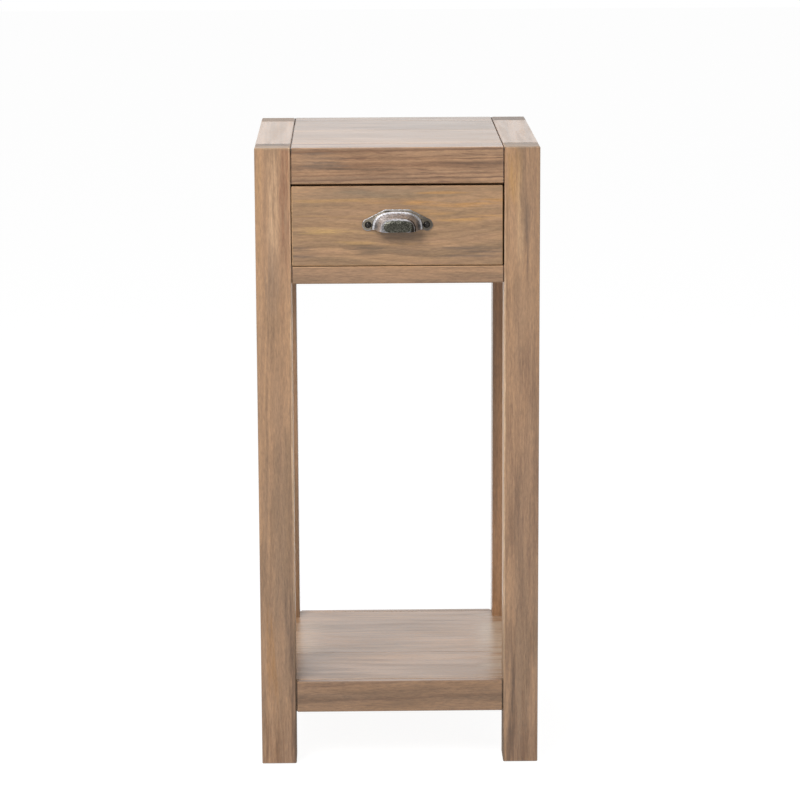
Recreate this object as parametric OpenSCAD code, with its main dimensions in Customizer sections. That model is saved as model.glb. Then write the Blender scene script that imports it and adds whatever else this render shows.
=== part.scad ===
// Side table with one drawer and a low shelf, in solid softwood.
// Units are millimetres. +Z is up and the drawer opens towards -Y.
// The origin is on the floor, at the middle of the whole object's box, with the pull counted in.

/* [Table] */
// Width over the legs
table_w = 312; // [280:1:420]
// Depth over the legs, without the pull
table_d = 312; // [280:1:420]
// Height from the floor to the top
table_h = 700; // [560:1:850]
// Side of the square legs
leg_s = 39; // [36:1:48]
// Chamfer that eases the long edges and ends of every visible piece
ease = 1; // [0.5:0.1:1.5]
// Chamfer along a glued joint between two boards
seam_ease = 0.4; // [0.2:0.1:0.8]

/* [Shadow grooves] */
// Width of the groove where a rail meets a leg or a side rail
shadow_w = 1.6; // [1:0.1:2.5]
// Depth of that groove
shadow_d = 4; // [2:0.5:6]

/* [Top] */
// Height of the four top rails
top_rail_h = 40; // [36:1:60]
// Thickness of the top boards
top_t = 18; // [15:1:20]
// Joint between the two top boards, from the middle of the legs towards the back
top_joint = 20; // [-60:1:60]
// Thickness of the front and back cleats under the top boards
cleat_t = 12; // [10:1:16]

/* [Drawer bay] */
// Clear height of the drawer opening
opening_h = 91; // [80:1:120]
// Height of the front and back rails under the drawer
drawer_rail_h = 19; // [16:1:30]
// Thickness of the side and back aprons
apron_t = 18; // [14:1:22]
// How far the runners and kickers reach in past the legs
runner_lap = 20; // [16:1:26]
// Height of the guides beside the drawer
guide_h = 20; // [12:1:30]
// Free height between the drawer sides and the kickers
kick_gap = 2.5; // [1:0.5:4]
// Height of the stop blocks behind the drawer
stop_h = 12; // [8:1:16]
// Clearance between the drawer and its stop blocks
stop_gap = 0.3; // [0.2:0.1:1]

/* [Drawer] */
// Thickness of the drawer front
front_t = 19; // [17:1:24]
// Gap between the drawer front and the left leg
gap_left = 1; // [0.6:0.1:2]
// Gap between the drawer front and the right leg
gap_right = 1.7; // [0.6:0.1:2.5]
// Gap above the drawer front
gap_top = 2.2; // [1:0.1:3]
// Gap below the drawer front
gap_bottom = 1; // [0.6:0.1:2]
// Gap between the drawer sides and the runners that carry them
seat_gap = 0.3; // [0.1:0.1:0.5]
// Thickness of the drawer sides
side_t = 12; // [10:0.5:15]
// How far the sides stop below the top of the front
side_drop = 8; // [4:1:12]
// Thickness of the drawer back
back_t = 12; // [10:0.5:15]
// How far the back stops below the top of the sides
back_drop = 4; // [2:1:8]
// Free length behind the turn button, up to the back cleat
back_room = 1; // [0.5:0.5:6]
// Thickness of the drawer bottom
bottom_t = 4; // [3:0.5:6]
// Depth of the grooves that hold the bottom
groove_d = 5; // [4:0.5:6]
// Wood left below those grooves
groove_rise = 7; // [5:1:10]
// Depth of the dadoes that hold the back
dado_d = 3; // [2:0.5:5]
// Clearance of a glued or nailed joint inside the drawer
fit = 0.1; // [0.05:0.05:0.2]
// Number of dovetails on each side
tails = 3; // [2:1:4]
// Length of the dovetails
tail_l = 12; // [8:1:14]
// Width of a dovetail at its root
tail_root = 12; // [8:1:14]
// Slope of the dovetails in degrees
tail_slope = 8; // [6:1:10]

/* [Turn button] */
// How far the upright button reaches up behind the front cleat
button_catch = 10; // [6:1:14]
// Width of the button
button_w = 14; // [12:1:18]
// Thickness of the button
button_t = 8; // [6:1:10]
// Length of the button below its screw
button_heel = 12; // [10:1:16]
// Distance of the screw below the top of the drawer back
button_drop = 14; // [12:1:18]
// Play of the button between the drawer back and its screw's head
button_play = 0.2; // [0.1:0.1:0.4]
// Diameter of the screw's round head
button_head_d = 8; // [7:0.5:10]
// Length of the screw inside the drawer back
button_bite = 9; // [7:0.5:9]

/* [Shelf] */
// Height of the shelf's surface
shelf_z = 96; // [80:1:200]
// Thickness of the shelf boards
shelf_t = 18; // [15:1:22]
// Height of the aprons round the shelf
shelf_apron_h = 35.5; // [32:0.5:50]
// Thickness of those aprons
shelf_apron_t = 10; // [8:0.5:14]
// Set-back of the shelf from the back faces of the back legs
shelf_set = 6; // [0:0.5:9]
// Joint between the two shelf boards, from the middle of the legs towards the front
shelf_joint = 39; // [-60:1:60]
// Width of the cleats under the shelf
shelf_cleat_w = 20; // [18:1:22]

/* [Cup pull] */
// Distance between the two screws
pull_centres = 64; // [63:1:76]
// Height of the screws above the middle of the drawer front
pull_raise = 1.5; // [-4:0.5:4]
// How far the cup stands out from the drawer front
pull_out = 24; // [20:1:26]
// Radius of the cup's open edge, seen from above
cup_r = 28; // [27:0.5:29]
// Radius of the flat at the top of the cup
cup_flat = 10; // [6:0.5:14]
// Height of the cup
cup_h = 21.5; // [18:0.5:24]
// Wall of the cup
cup_wall = 2; // [1.5:0.1:2.5]
// Thickness of the flange
flange_t = 2; // [1.6:0.1:2.4]
// How far the flange stands above the cup
flange_rim = 3; // [2:0.5:5]
// Half width of the flange's straight upper edge
flange_top = 13.5; // [10:0.5:16]
// Radius of the two ears and of the flange below the screws
ear_r = 7.5; // [7:0.5:8.5]
// Diameter of the pull's screws
pull_screw_d = 3.5; // [3:0.5:4]
// Diameter of their round heads
pull_head_d = 7.6; // [7:0.2:8.4]
// Length of these screws under the head
pull_screw_l = 17; // [12:1:18]

/* [Fasteners] */
// Diameter of the dowels
dowel_d = 8; // [6:1:9]
// Length of the dowels
dowel_l = 29; // [24:1:32]
// Length of a dowel that sits in a leg
dowel_in_leg = 14; // [11:1:15]
// Wood left between a dowel and the edge of its rail
dowel_edge = 6; // [5:0.5:8]
// Spare depth at the blind end of a hole
hole_spare = 0.5; // [0.3:0.1:1]
// Height of the round screw heads
round_head_h = 2.4; // [1.8:0.2:3]
// Width of the cross recess in the screw heads
recess_w = 0.9; // [0.6:0.1:1.2]
// Diameter of the countersunk wood screws
screw_d = 4; // [3.5:0.5:4.5]
// Diameter of their heads
screw_head_d = 8; // [7:0.5:9]
// Distance of the screws from the ends of the piece that they hold
screw_inset = 40; // [30:1:50]
// Wood left above the points of the screws that hold the boards
screw_cover = 7; // [5:1:9]
// Length of a runner screw's point inside the apron
runner_bite = 12; // [8:1:13]
// Clearance between a fastener and its hole, on the radius
hole_gap = 0.05; // [0.02:0.01:0.1]
// Diameter of the nails in the drawer bottom
nail_d = 1.6; // [1.2:0.2:2]
// Length of these nails
nail_l = 20; // [16:1:24]

/* [Hidden] */

$fn = 64;
// Length by which a cutter stands out of what it cuts
over = 1;
// How far the flange's straight edges pass inside its round ears
ear_lap = 0.1;
// Sides and ends of the carcass, counted from the middle
LEFT = -1;
RIGHT = 1;
FRONT = -1;
BACK = 1;
SIDES = [LEFT, RIGHT];
ENDS = [FRONT, BACK];

// Colours
washed = "#a58768";
washed_top = "#cfc3b8";
raw = "#d8bd92";
beech = "#cfa676";
pewter = "#76706a";
steel = "#8d9094";
dark_steel = "#3b3a38";

// Planes of the carcass
half_w = table_w / 2;
front_y = -(table_d - pull_out) / 2;
back_y = front_y + table_d;
mid_y = (front_y + back_y) / 2;
leg_in_x = half_w - leg_s;
leg_front_in = front_y + leg_s;
leg_back_in = back_y - leg_s;

// Heights of the drawer bay
rail_z = table_h - top_rail_h;
boards_z = table_h - top_t;
opening_z = rail_z - opening_h;
bay_z = opening_z - drawer_rail_h;
apron_in_x = half_w - apron_t;
kicker_in_x = leg_in_x - runner_lap;

// Drawer box
box_left = -leg_in_x + gap_left;
box_right = leg_in_x - gap_right;
box_mid = (box_left + box_right) / 2;
front_low = opening_z + gap_bottom;
front_high = rail_z - gap_top;
side_low = opening_z + seat_gap;
side_high = front_high - side_drop;
front_back_y = front_y + front_t;
back_in_y = leg_back_in - cleat_t - back_room;
box_end_y = back_in_y + back_t;
groove_z = side_low + groove_rise;
floor_z = groove_z + bottom_t;
back_high = side_high - back_drop;
groove_h = bottom_t + 2 * fit;
kicker_z = side_high + kick_gap;

// Turn button
button_z = back_high - button_drop;
button_back_y = back_in_y - button_play;
button_y = button_back_y - button_t;
button_head_y = button_y - button_play;
button_screw_l = back_in_y - button_head_y + button_bite;

// Shelf
shelf_low = shelf_z - shelf_t;
shelf_apron_low = shelf_z - shelf_apron_h;
shelf_side_x = half_w - shelf_apron_t;
shelf_front_y = front_y + shelf_apron_t;
shelf_end_y = back_y - shelf_set;
shelf_back_y = shelf_end_y - shelf_apron_t;
shelf_joint_y = mid_y - shelf_joint;
top_joint_y = mid_y + top_joint;

// Pull
pull_z = (front_low + front_high) / 2 + pull_raise;
cup_axis_y = front_y + cup_r - pull_out;
cup_low = pull_z - ear_r;

// Dowels: the middle of the joint face, and the way from the rail into the leg
dowel_low = dowel_d / 2 + dowel_edge;
top_dowels = concat(
    [for (s = SIDES, y = [front_y + leg_s / 2, back_y - leg_s / 2],
        z = [rail_z + dowel_low, table_h - dowel_low]) [[s * leg_in_x, y, z], [s, 0, 0]]],
    [for (s = SIDES, f = ENDS, z = [rail_z + dowel_low, table_h - dowel_low])
        [[s * (half_w - leg_s / 2), f == FRONT ? leg_front_in : leg_back_in, z], [0, f, 0]]]
);
apron_low_z = opening_z + dowel_low;
apron_high_z = rail_z - 2 * dowel_low;
bay_dowels = concat(
    [for (s = SIDES, y = [front_y + leg_s / 2, back_y - leg_s / 2])
        [[s * leg_in_x, y, bay_z + drawer_rail_h / 2], [s, 0, 0]]],
    [for (s = SIDES, z = [apron_low_z, apron_high_z])
        [[s * leg_in_x, back_y - apron_t / 2, z], [s, 0, 0]]],
    [for (s = SIDES, f = ENDS, z = [apron_low_z, apron_high_z])
        [[s * (half_w - apron_t / 2), f == FRONT ? leg_front_in : leg_back_in, z], [0, f, 0]]]
);
shelf_cleat_mid = (shelf_low + shelf_apron_low) / 2;
shelf_dowels = concat(
    [for (s = SIDES,
        y = [shelf_front_y + shelf_cleat_w / 2, shelf_back_y - shelf_cleat_w / 2])
        [[s * leg_in_x, y, shelf_cleat_mid], [s, 0, 0]]],
    [for (s = SIDES, f = ENDS)
        [[s * (shelf_side_x - shelf_cleat_w / 2), f == FRONT ? leg_front_in : leg_back_in,
            shelf_cleat_mid], [0, f, 0]]]
);

// Screws: the face under the head, the way the point goes, and the length
kicker_mid_x = leg_in_x - runner_lap / 2;
boards_top_screw = table_h - screw_cover;
top_screw_list = concat(
    [for (s = SIDES, y = [leg_front_in + screw_inset, leg_back_in - screw_inset])
        [[s * kicker_mid_x, y, kicker_z], [0, 0, 1], boards_top_screw - kicker_z]],
    [for (s = SIDES, y = [leg_front_in + cleat_t / 2, leg_back_in - cleat_t / 2])
        [[s * (kicker_in_x - screw_inset), y, rail_z], [0, 0, 1], boards_top_screw - rail_z]]
);
runner_screw_list = [for (s = SIDES,
    y = [leg_front_in + screw_inset, leg_back_in - screw_inset])
    [[s * kicker_in_x, y, bay_z + drawer_rail_h / 2], [s, 0, 0],
        apron_in_x + runner_bite - kicker_in_x]];
shelf_screw_l = shelf_z - screw_cover - shelf_apron_low;
shelf_screw_list = concat(
    [for (s = SIDES, y = [shelf_front_y + shelf_cleat_w / 2,
        shelf_back_y - shelf_cleat_w / 2])
        [[s * (leg_in_x - screw_inset), y, shelf_apron_low], [0, 0, 1], shelf_screw_l]],
    [for (s = SIDES, y = [leg_front_in + screw_inset, leg_back_in - screw_inset])
        [[s * (shelf_side_x - shelf_cleat_w / 2), y, shelf_apron_low], [0, 0, 1],
            shelf_screw_l]]
);
nail_list = [for (f = [-1, 0, 1])
    [[box_mid + f * (box_right - box_mid - side_t - screw_inset / 2),
        back_in_y + back_t / 2, groove_z + fit], [0, 0, 1], nail_l]];

// ---- Shared shapes ----

// Rectangle from the origin with its four corners cut at 45 degrees
module cut_rect(w, h, c) {
    polygon([[c, 0], [w - c, 0], [w, c], [w, h - c], [w - c, h], [c, h], [0, h - c], [0, c]]);
}

// Block between two corners, with every edge chamfered
module board(low, high, c = ease) {
    size = high - low;
    translate(low) intersection() {
        linear_extrude(size.z) cut_rect(size.x, size.y, c);
        translate([0, size.y, 0]) rotate([90, 0, 0])
            linear_extrude(size.y) cut_rect(size.x, size.z, c);
        rotate([90, 0, 90]) linear_extrude(size.x) cut_rect(size.y, size.z, c);
    }
}

// Plain block between two corners
module block(low, high) {
    translate(low) cube(high - low);
}

// Turns what points along +Z so that it points along a signed axis
module point_along(dir) {
    turn = dir.x != 0 ? [0, 90 * dir.x, 0] : dir.y != 0 ? [-90 * dir.y, 0, 0]
        : [dir.z < 0 ? 180 : 0, 0, 0];
    rotate(turn) children();
}

// One dowel across a joint, or its hole when grown
module dowel(place, grow = 0, spare = 0) {
    translate(place[0]) point_along(place[1])
        translate([0, 0, dowel_in_leg - dowel_l - spare])
            cylinder(d = dowel_d + 2 * grow, h = dowel_l + 2 * spare);
}

// A set of dowels
module dowels(places) {
    for (place = places) dowel(place);
}

// The holes of a set of dowels
module dowel_holes(places) {
    for (place = places) dowel(place, hole_gap, hole_spare);
}

// Profile of a countersunk screw, its head flush with the origin and its point along +Y
module screw_profile(length, grow) {
    r = screw_d / 2 + grow;
    head_r = screw_head_d / 2 + grow;
    polygon([[0, 0], [head_r, 0], [r, head_r - r], [r, length - r], [0, length + grow]]);
}

// One countersunk screw, or its hole when grown
module wood_screw(place, grow = 0) {
    translate(place[0]) point_along(place[1]) difference() {
        rotate_extrude() screw_profile(place[2], grow);
        if (grow == 0) cross_recess(screw_head_d, 0);
    }
}

// Cross-shaped recess in a screw's head of the given diameter, sunk from the plane z
module cross_recess(head_d, z) {
    span = head_d / 2;
    depth = head_d / 5;
    for (turn = [0, 90]) rotate(turn)
        translate([-span / 2, -recess_w / 2, z - over]) cube([span, recess_w, depth + over]);
}

// Screw with a domed head below the origin and its shank along +Z
module round_screw(shank_d, shank_l, head_d) {
    difference() {
        union() {
            domed_head(head_d, round_head_h);
            cylinder(d = shank_d, h = shank_l);
        }
        cross_recess(head_d, -round_head_h);
    }
}

// Hole of that screw's shank, open below the origin
module round_screw_hole(shank_d, shank_l) {
    translate([0, 0, -over])
        cylinder(d = shank_d + 2 * hole_gap, h = over + shank_l + hole_spare);
}

// Dome of diameter d that stands h out of the plane of the origin, towards -Z
module domed_head(d, h) {
    r = (d * d / 4 + h * h) / (2 * h);
    intersection() {
        translate([0, 0, r - h]) sphere(r = r);
        translate([0, 0, -h]) cylinder(d = d, h = h);
    }
}

// A set of countersunk screws
module wood_screws(places) {
    for (place = places) wood_screw(place);
}

// The holes of a set of screws
module screw_holes(places) {
    for (place = places) wood_screw(place, hole_gap);
}

// Groove cutters at both ends of a rail that lies along X, on its face at y and on its top.
// A positive way means that the face looks towards -Y.
module end_grooves(low_z, high_z, y, way) {
    for (s = SIDES) {
        x = s * leg_in_x - (s > 0 ? shadow_w : 0);
        cut_y = way > 0 ? y - over : y - shadow_d;
        translate([x, cut_y, low_z - over])
            cube([shadow_w, shadow_d + over, high_z - low_z + 2 * over]);
    }
}

// ---- Legs ----

// One leg. side is LEFT or RIGHT, and back is true for the two behind.
module leg(side, back) {
    low_x = side < 0 ? -half_w : leg_in_x;
    low_y = back ? leg_back_in : front_y;
    color(washed) difference() {
        board([low_x, low_y, 0], [low_x + leg_s, low_y + leg_s, table_h]);
        dowel_holes(top_dowels);
        dowel_holes(bay_dowels);
        dowel_holes(shelf_dowels);
    }
}

module leg_front_left() { leg(LEFT, false); }
module leg_front_right() { leg(RIGHT, false); }
module leg_back_left() { leg(LEFT, true); }
module leg_back_right() { leg(RIGHT, true); }

// ---- Top ----

// Cutters for the grooves across the top surface, along both inner sides of the legs
module top_grooves(low_y, high_y) {
    for (s = SIDES)
        translate([s * leg_in_x - (s > 0 ? shadow_w : 0), low_y - over, table_h - shadow_d])
            cube([shadow_w, high_y - low_y + 2 * over, shadow_d + over]);
}

module top_rail_front() {
    color(washed_top) difference() {
        board([-leg_in_x, front_y, rail_z], [leg_in_x, leg_front_in, table_h]);
        end_grooves(rail_z, table_h, front_y, 1);
        top_grooves(front_y, leg_front_in);
        dowel_holes(top_dowels);
    }
}

module top_rail_back() {
    color(washed_top) difference() {
        board([-leg_in_x, leg_back_in, rail_z], [leg_in_x, back_y, table_h]);
        end_grooves(rail_z, table_h, back_y, -1);
        top_grooves(leg_back_in, back_y);
        dowel_holes(top_dowels);
    }
}

// Rail along one side of the top
module top_rail_side(side) {
    low_x = side < 0 ? -half_w : leg_in_x;
    color(washed_top) difference() {
        board([low_x, leg_front_in, rail_z], [low_x + leg_s, leg_back_in, table_h]);
        dowel_holes(top_dowels);
    }
}

module top_rail_left() { top_rail_side(LEFT); }
module top_rail_right() { top_rail_side(RIGHT); }

// One board of the top's middle, from one joint to the next
module top_board(low_y, high_y) {
    color(washed_top) difference() {
        board([-leg_in_x, low_y, boards_z], [leg_in_x, high_y, table_h], seam_ease);
        top_grooves(low_y, high_y);
        screw_holes(top_screw_list);
    }
}

module top_board_front() { top_board(leg_front_in, top_joint_y); }
module top_board_back() { top_board(top_joint_y, leg_back_in); }

// Cleat under the top boards, against the front or back rail
module top_cleat(low_y) {
    color(raw) difference() {
        board([-kicker_in_x, low_y, rail_z], [kicker_in_x, low_y + cleat_t, boards_z]);
        screw_holes(top_screw_list);
    }
}

module top_cleat_front() { top_cleat(leg_front_in); }
module top_cleat_back() { top_cleat(leg_back_in - cleat_t); }

// ---- Drawer bay ----

// Apron that closes one side of the bay
module apron_side(side) {
    low_x = side < 0 ? -half_w : apron_in_x;
    color(washed) difference() {
        board([low_x, leg_front_in, bay_z], [low_x + apron_t, leg_back_in, rail_z]);
        dowel_holes(bay_dowels);
        screw_holes(runner_screw_list);
    }
}

module apron_left() { apron_side(LEFT); }
module apron_right() { apron_side(RIGHT); }

module apron_back() {
    color(washed) difference() {
        board([-leg_in_x, back_y - apron_t, opening_z], [leg_in_x, back_y, rail_z]);
        end_grooves(opening_z, rail_z, back_y, -1);
        dowel_holes(bay_dowels);
    }
}

// Rail under the drawer, as deep as the legs
module drawer_rail(low_y, face_y, way) {
    color(washed) difference() {
        board([-leg_in_x, low_y, bay_z], [leg_in_x, low_y + leg_s, opening_z]);
        end_grooves(bay_z, opening_z, face_y, way);
        dowel_holes(bay_dowels);
    }
}

module drawer_rail_front() { drawer_rail(front_y, front_y, 1); }
module drawer_rail_back() { drawer_rail(leg_back_in, back_y, -1); }

// Runner that carries one drawer side
module drawer_runner(side) {
    low_x = side < 0 ? -apron_in_x : kicker_in_x;
    color(raw) difference() {
        board([low_x, leg_front_in, bay_z],
            [low_x + apron_in_x - kicker_in_x, leg_back_in, opening_z]);
        screw_holes(runner_screw_list);
    }
}

module drawer_runner_left() { drawer_runner(LEFT); }
module drawer_runner_right() { drawer_runner(RIGHT); }

// Guide that keeps the drawer straight, on top of the runner
module drawer_guide(side) {
    low_x = side < 0 ? -apron_in_x : leg_in_x;
    color(raw) board([low_x, leg_front_in, opening_z],
        [low_x + apron_in_x - leg_in_x, leg_back_in, opening_z + guide_h]);
}

module drawer_guide_left() { drawer_guide(LEFT); }
module drawer_guide_right() { drawer_guide(RIGHT); }

// Kicker that keeps the open drawer level and carries the ends of the top boards
module drawer_kicker(side) {
    low_x = side < 0 ? -leg_in_x : kicker_in_x;
    color(raw) difference() {
        board([low_x, leg_front_in, kicker_z], [low_x + runner_lap, leg_back_in, boards_z]);
        screw_holes(top_screw_list);
    }
}

module drawer_kicker_left() { drawer_kicker(LEFT); }
module drawer_kicker_right() { drawer_kicker(RIGHT); }

// Two blocks on the back rail that stop the drawer when its front is flush
module drawer_stops() {
    color(raw) for (s = SIDES) {
        low_x = s < 0 ? -leg_in_x : kicker_in_x;
        board([low_x, box_end_y + stop_gap, opening_z],
            [low_x + runner_lap, back_y - apron_t, opening_z + stop_h]);
    }
}

// ---- Shelf ----

// One shelf board, narrowed between the legs where it reaches them
module shelf_board(low_y, high_y) {
    color(washed_top) difference() {
        board([-shelf_side_x, low_y, shelf_low], [shelf_side_x, high_y, shelf_z], seam_ease);
        for (s = SIDES, y = [front_y, leg_back_in]) {
            low_x = s < 0 ? -half_w : leg_in_x;
            block([low_x, y, shelf_low - over], [low_x + leg_s, y + leg_s, shelf_z + over]);
        }
        screw_holes(shelf_screw_list);
    }
}

module shelf_board_front() { shelf_board(shelf_front_y, shelf_joint_y); }
module shelf_board_back() { shelf_board(shelf_joint_y, shelf_back_y); }

// Apron across the front or the back of the shelf
module shelf_apron(low_y, face_y, way) {
    color(washed) difference() {
        board([-leg_in_x, low_y, shelf_apron_low],
            [leg_in_x, low_y + shelf_apron_t, shelf_z]);
        end_grooves(shelf_apron_low, shelf_z, face_y, way);
    }
}

module shelf_apron_front() { shelf_apron(front_y, front_y, 1); }
module shelf_apron_back() { shelf_apron(shelf_back_y, shelf_end_y, -1); }

// Apron along one side of the shelf
module shelf_apron_side(side) {
    low_x = side < 0 ? -half_w : shelf_side_x;
    color(washed) board([low_x, leg_front_in, shelf_apron_low],
        [low_x + shelf_apron_t, leg_back_in, shelf_z]);
}

module shelf_apron_left() { shelf_apron_side(LEFT); }
module shelf_apron_right() { shelf_apron_side(RIGHT); }

// Cleat under the shelf between two legs
module shelf_cleat(low, high) {
    color(raw) difference() {
        board(low, high);
        dowel_holes(shelf_dowels);
        screw_holes(shelf_screw_list);
    }
}

module shelf_cleat_front() {
    shelf_cleat([-leg_in_x, shelf_front_y, shelf_apron_low],
        [leg_in_x, shelf_front_y + shelf_cleat_w, shelf_low]);
}

module shelf_cleat_back() {
    shelf_cleat([-leg_in_x, shelf_back_y - shelf_cleat_w, shelf_apron_low],
        [leg_in_x, shelf_back_y, shelf_low]);
}

module shelf_cleat_left() {
    shelf_cleat([-shelf_side_x, leg_front_in, shelf_apron_low],
        [-shelf_side_x + shelf_cleat_w, leg_back_in, shelf_low]);
}

module shelf_cleat_right() {
    shelf_cleat([shelf_side_x - shelf_cleat_w, leg_front_in, shelf_apron_low],
        [shelf_side_x, leg_back_in, shelf_low]);
}

// ---- Fasteners of the frame ----

module dowels_top() { color(beech) dowels(top_dowels); }
module dowels_bay() { color(beech) dowels(bay_dowels); }
module dowels_shelf() { color(beech) dowels(shelf_dowels); }
module top_screws() { color(steel) wood_screws(top_screw_list); }
module runner_screws() { color(steel) wood_screws(runner_screw_list); }
module shelf_screws() { color(steel) wood_screws(shelf_screw_list); }

// ---- Drawer ----

// Outlines of the dovetails at the front of a side, in Y and Z, grown for their sockets
module tail_outlines(grow) {
    pitch = (side_high - side_low) / tails;
    flare = tail_l * tan(tail_slope);
    for (i = [0 : tails - 1]) {
        z = side_low + (i + 0.5) * pitch;
        root = tail_root / 2 + grow;
        tip_y = front_back_y - tail_l - grow;
        polygon([[front_back_y, z - root], [tip_y, z - root - flare],
            [tip_y, z + root + flare], [front_back_y, z + root]]);
    }
}

// Dovetails of one side as a solid, from low_x over the given width
module tail_solids(low_x, width, grow) {
    translate([low_x, 0, 0]) rotate([90, 0, 90]) linear_extrude(width) tail_outlines(grow);
}

// Space of the drawer bottom, with its clearance
module bottom_space() {
    block([box_left + side_t - groove_d, front_back_y - groove_d, groove_z],
        [box_right - side_t + groove_d, box_end_y + over, groove_z + groove_h]);
}

module drawer_front() {
    color(washed) difference() {
        board([box_left, front_y, front_low], [box_right, front_back_y, front_high]);
        tail_solids(box_left - over, side_t + over + fit, fit);
        tail_solids(box_right - side_t - fit, side_t + over + fit, fit);
        bottom_space();
        at_pull_screws() round_screw_hole(pull_screw_d, pull_screw_l);
    }
}

// Side of the drawer, with its dovetails, groove and dado
module drawer_side(side) {
    low_x = side < 0 ? box_left : box_right - side_t;
    dado_x = side < 0 ? box_left + side_t - dado_d : box_right - side_t - over;
    color(raw) difference() {
        union() {
            board([low_x, front_back_y, side_low], [low_x + side_t, box_end_y, side_high],
                seam_ease);
            tail_solids(low_x, side_t, 0);
            // Square shoulder between the tails, where the board's end would be eased
            block([low_x, front_back_y, side_low + seam_ease],
                [low_x + side_t, front_back_y + seam_ease, side_high - seam_ease]);
        }
        bottom_space();
        block([dado_x, back_in_y - fit, floor_z],
            [dado_x + dado_d + over, box_end_y + over, side_high + over]);
    }
}

module drawer_side_left() { drawer_side(LEFT); }
module drawer_side_right() { drawer_side(RIGHT); }

module drawer_back() {
    reach = dado_d - fit;
    color(raw) difference() {
        board([box_left + side_t - reach, back_in_y, groove_z + groove_h],
            [box_right - side_t + reach, box_end_y, back_high], seam_ease);
        at_button_screw() round_screw_hole(screw_d, button_screw_l);
        nail_set(hole_gap);
    }
}

module drawer_bottom() {
    reach = groove_d - fit;
    color(raw) difference() {
        block([box_left + side_t - reach, front_back_y - reach, groove_z + fit],
            [box_right - side_t + reach, box_end_y, groove_z + fit + bottom_t]);
        nail_set(hole_gap);
    }
}

// Nails up through the bottom into the back
module nail_set(grow) {
    for (place = nail_list) translate(place[0])
        cylinder(d = nail_d + 2 * grow, h = place[2] + grow);
}

module bottom_nails() {
    color(steel) nail_set(0);
}

// ---- Turn button ----

// Places what points along +Z at the turn button's screw, under its head
module at_button_screw() {
    translate([box_mid, button_head_y, button_z]) point_along([0, 1, 0]) children();
}

module button_screw() {
    color(steel) at_button_screw() round_screw(screw_d, button_screw_l, button_head_d);
}

module turn_button() {
    color(raw) difference() {
        board([box_mid - button_w / 2, button_y, button_z - button_heel],
            [box_mid + button_w / 2, button_back_y, rail_z + button_catch]);
        at_button_screw() round_screw_hole(screw_d, button_screw_l);
    }
}

// ---- Cup pull ----

// Upper half of the cup's outline, turned round the cup's vertical axis
module cup_profile(r, h) {
    steps = 16;
    points = [for (i = [0 : steps]) let (a = 90 * i / steps)
        [cup_flat + (r - cup_flat) * sin(a), h * cos(a)]];
    polygon(concat([[0, 0], [0, h]], points));
}

// Point where the line from an outer corner touches the ear's circle on the left
function tangent_point(corner, centre, r) =
    let (d = norm(corner - centre),
        a = atan2(corner.y - centre.y, corner.x - centre.x) + acos(r / d))
    centre + r * [cos(a), sin(a)];

// Outline of the flange in X and Z, with the screws' line at zero. Its straight edges
// pass just inside the round ears, so that each crosses its circle cleanly.
module flange_outline() {
    ear = [-pull_centres / 2, 0];
    low = ear_lap - ear_r;
    top = [-flange_top, cup_h + flange_rim - ear_r];
    touch = tangent_point(top, ear, -low);
    polygon([touch, top, [-top.x, top.y], [-touch.x, touch.y], [-ear.x, ear.y],
        [-ear.x, low], [ear.x, low], ear]);
    for (s = SIDES) translate([s * pull_centres / 2, 0]) circle(r = ear_r);
}

// Places what points along +Z at each screw of the pull, under its head
module at_pull_screws() {
    for (s = SIDES)
        translate([box_mid + s * pull_centres / 2, front_y - flange_t, pull_z])
            point_along([0, 1, 0]) children();
}

module cup_pull() {
    color(pewter) difference() {
        union() {
            translate([box_mid, front_y, pull_z]) rotate([90, 0, 0])
                linear_extrude(flange_t) flange_outline();
            intersection() {
                translate([box_mid, cup_axis_y, cup_low]) rotate_extrude()
                    cup_profile(cup_r, cup_h);
                block([box_mid - cup_r, front_y - pull_out - over, cup_low],
                    [box_mid + cup_r, front_y, cup_low + cup_h + over]);
            }
        }
        translate([box_mid, cup_axis_y, cup_low]) rotate_extrude()
            cup_profile(cup_r - cup_wall, cup_h - cup_wall);
        at_pull_screws() round_screw_hole(pull_screw_d, pull_screw_l);
    }
}

module pull_screws() {
    color(dark_steel) at_pull_screws() round_screw(pull_screw_d, pull_screw_l, pull_head_d);
}

leg_front_left();
leg_front_right();
leg_back_left();
leg_back_right();
top_rail_front();
top_rail_back();
top_rail_left();
top_rail_right();
top_board_front();
top_board_back();
top_cleat_front();
top_cleat_back();
apron_left();
apron_right();
apron_back();
drawer_rail_front();
drawer_rail_back();
drawer_runner_left();
drawer_runner_right();
drawer_guide_left();
drawer_guide_right();
drawer_kicker_left();
drawer_kicker_right();
drawer_stops();
shelf_board_front();
shelf_board_back();
shelf_apron_front();
shelf_apron_back();
shelf_apron_left();
shelf_apron_right();
shelf_cleat_front();
shelf_cleat_back();
shelf_cleat_left();
shelf_cleat_right();
dowels_top();
dowels_bay();
dowels_shelf();
top_screws();
runner_screws();
shelf_screws();
drawer_front();
drawer_side_left();
drawer_side_right();
drawer_back();
drawer_bottom();
bottom_nails();
cup_pull();
pull_screws();
button_screw();
turn_button();
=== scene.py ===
"""Finish, hardware and studio for a side table with one drawer, dressed round its CAD frame."""

import logging
import math
from dataclasses import dataclass, field
from enum import Enum
from typing import Any, Iterable, Sequence, Union

import bmesh
import bpy
from mathutils import Matrix, Vector, noise


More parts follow.
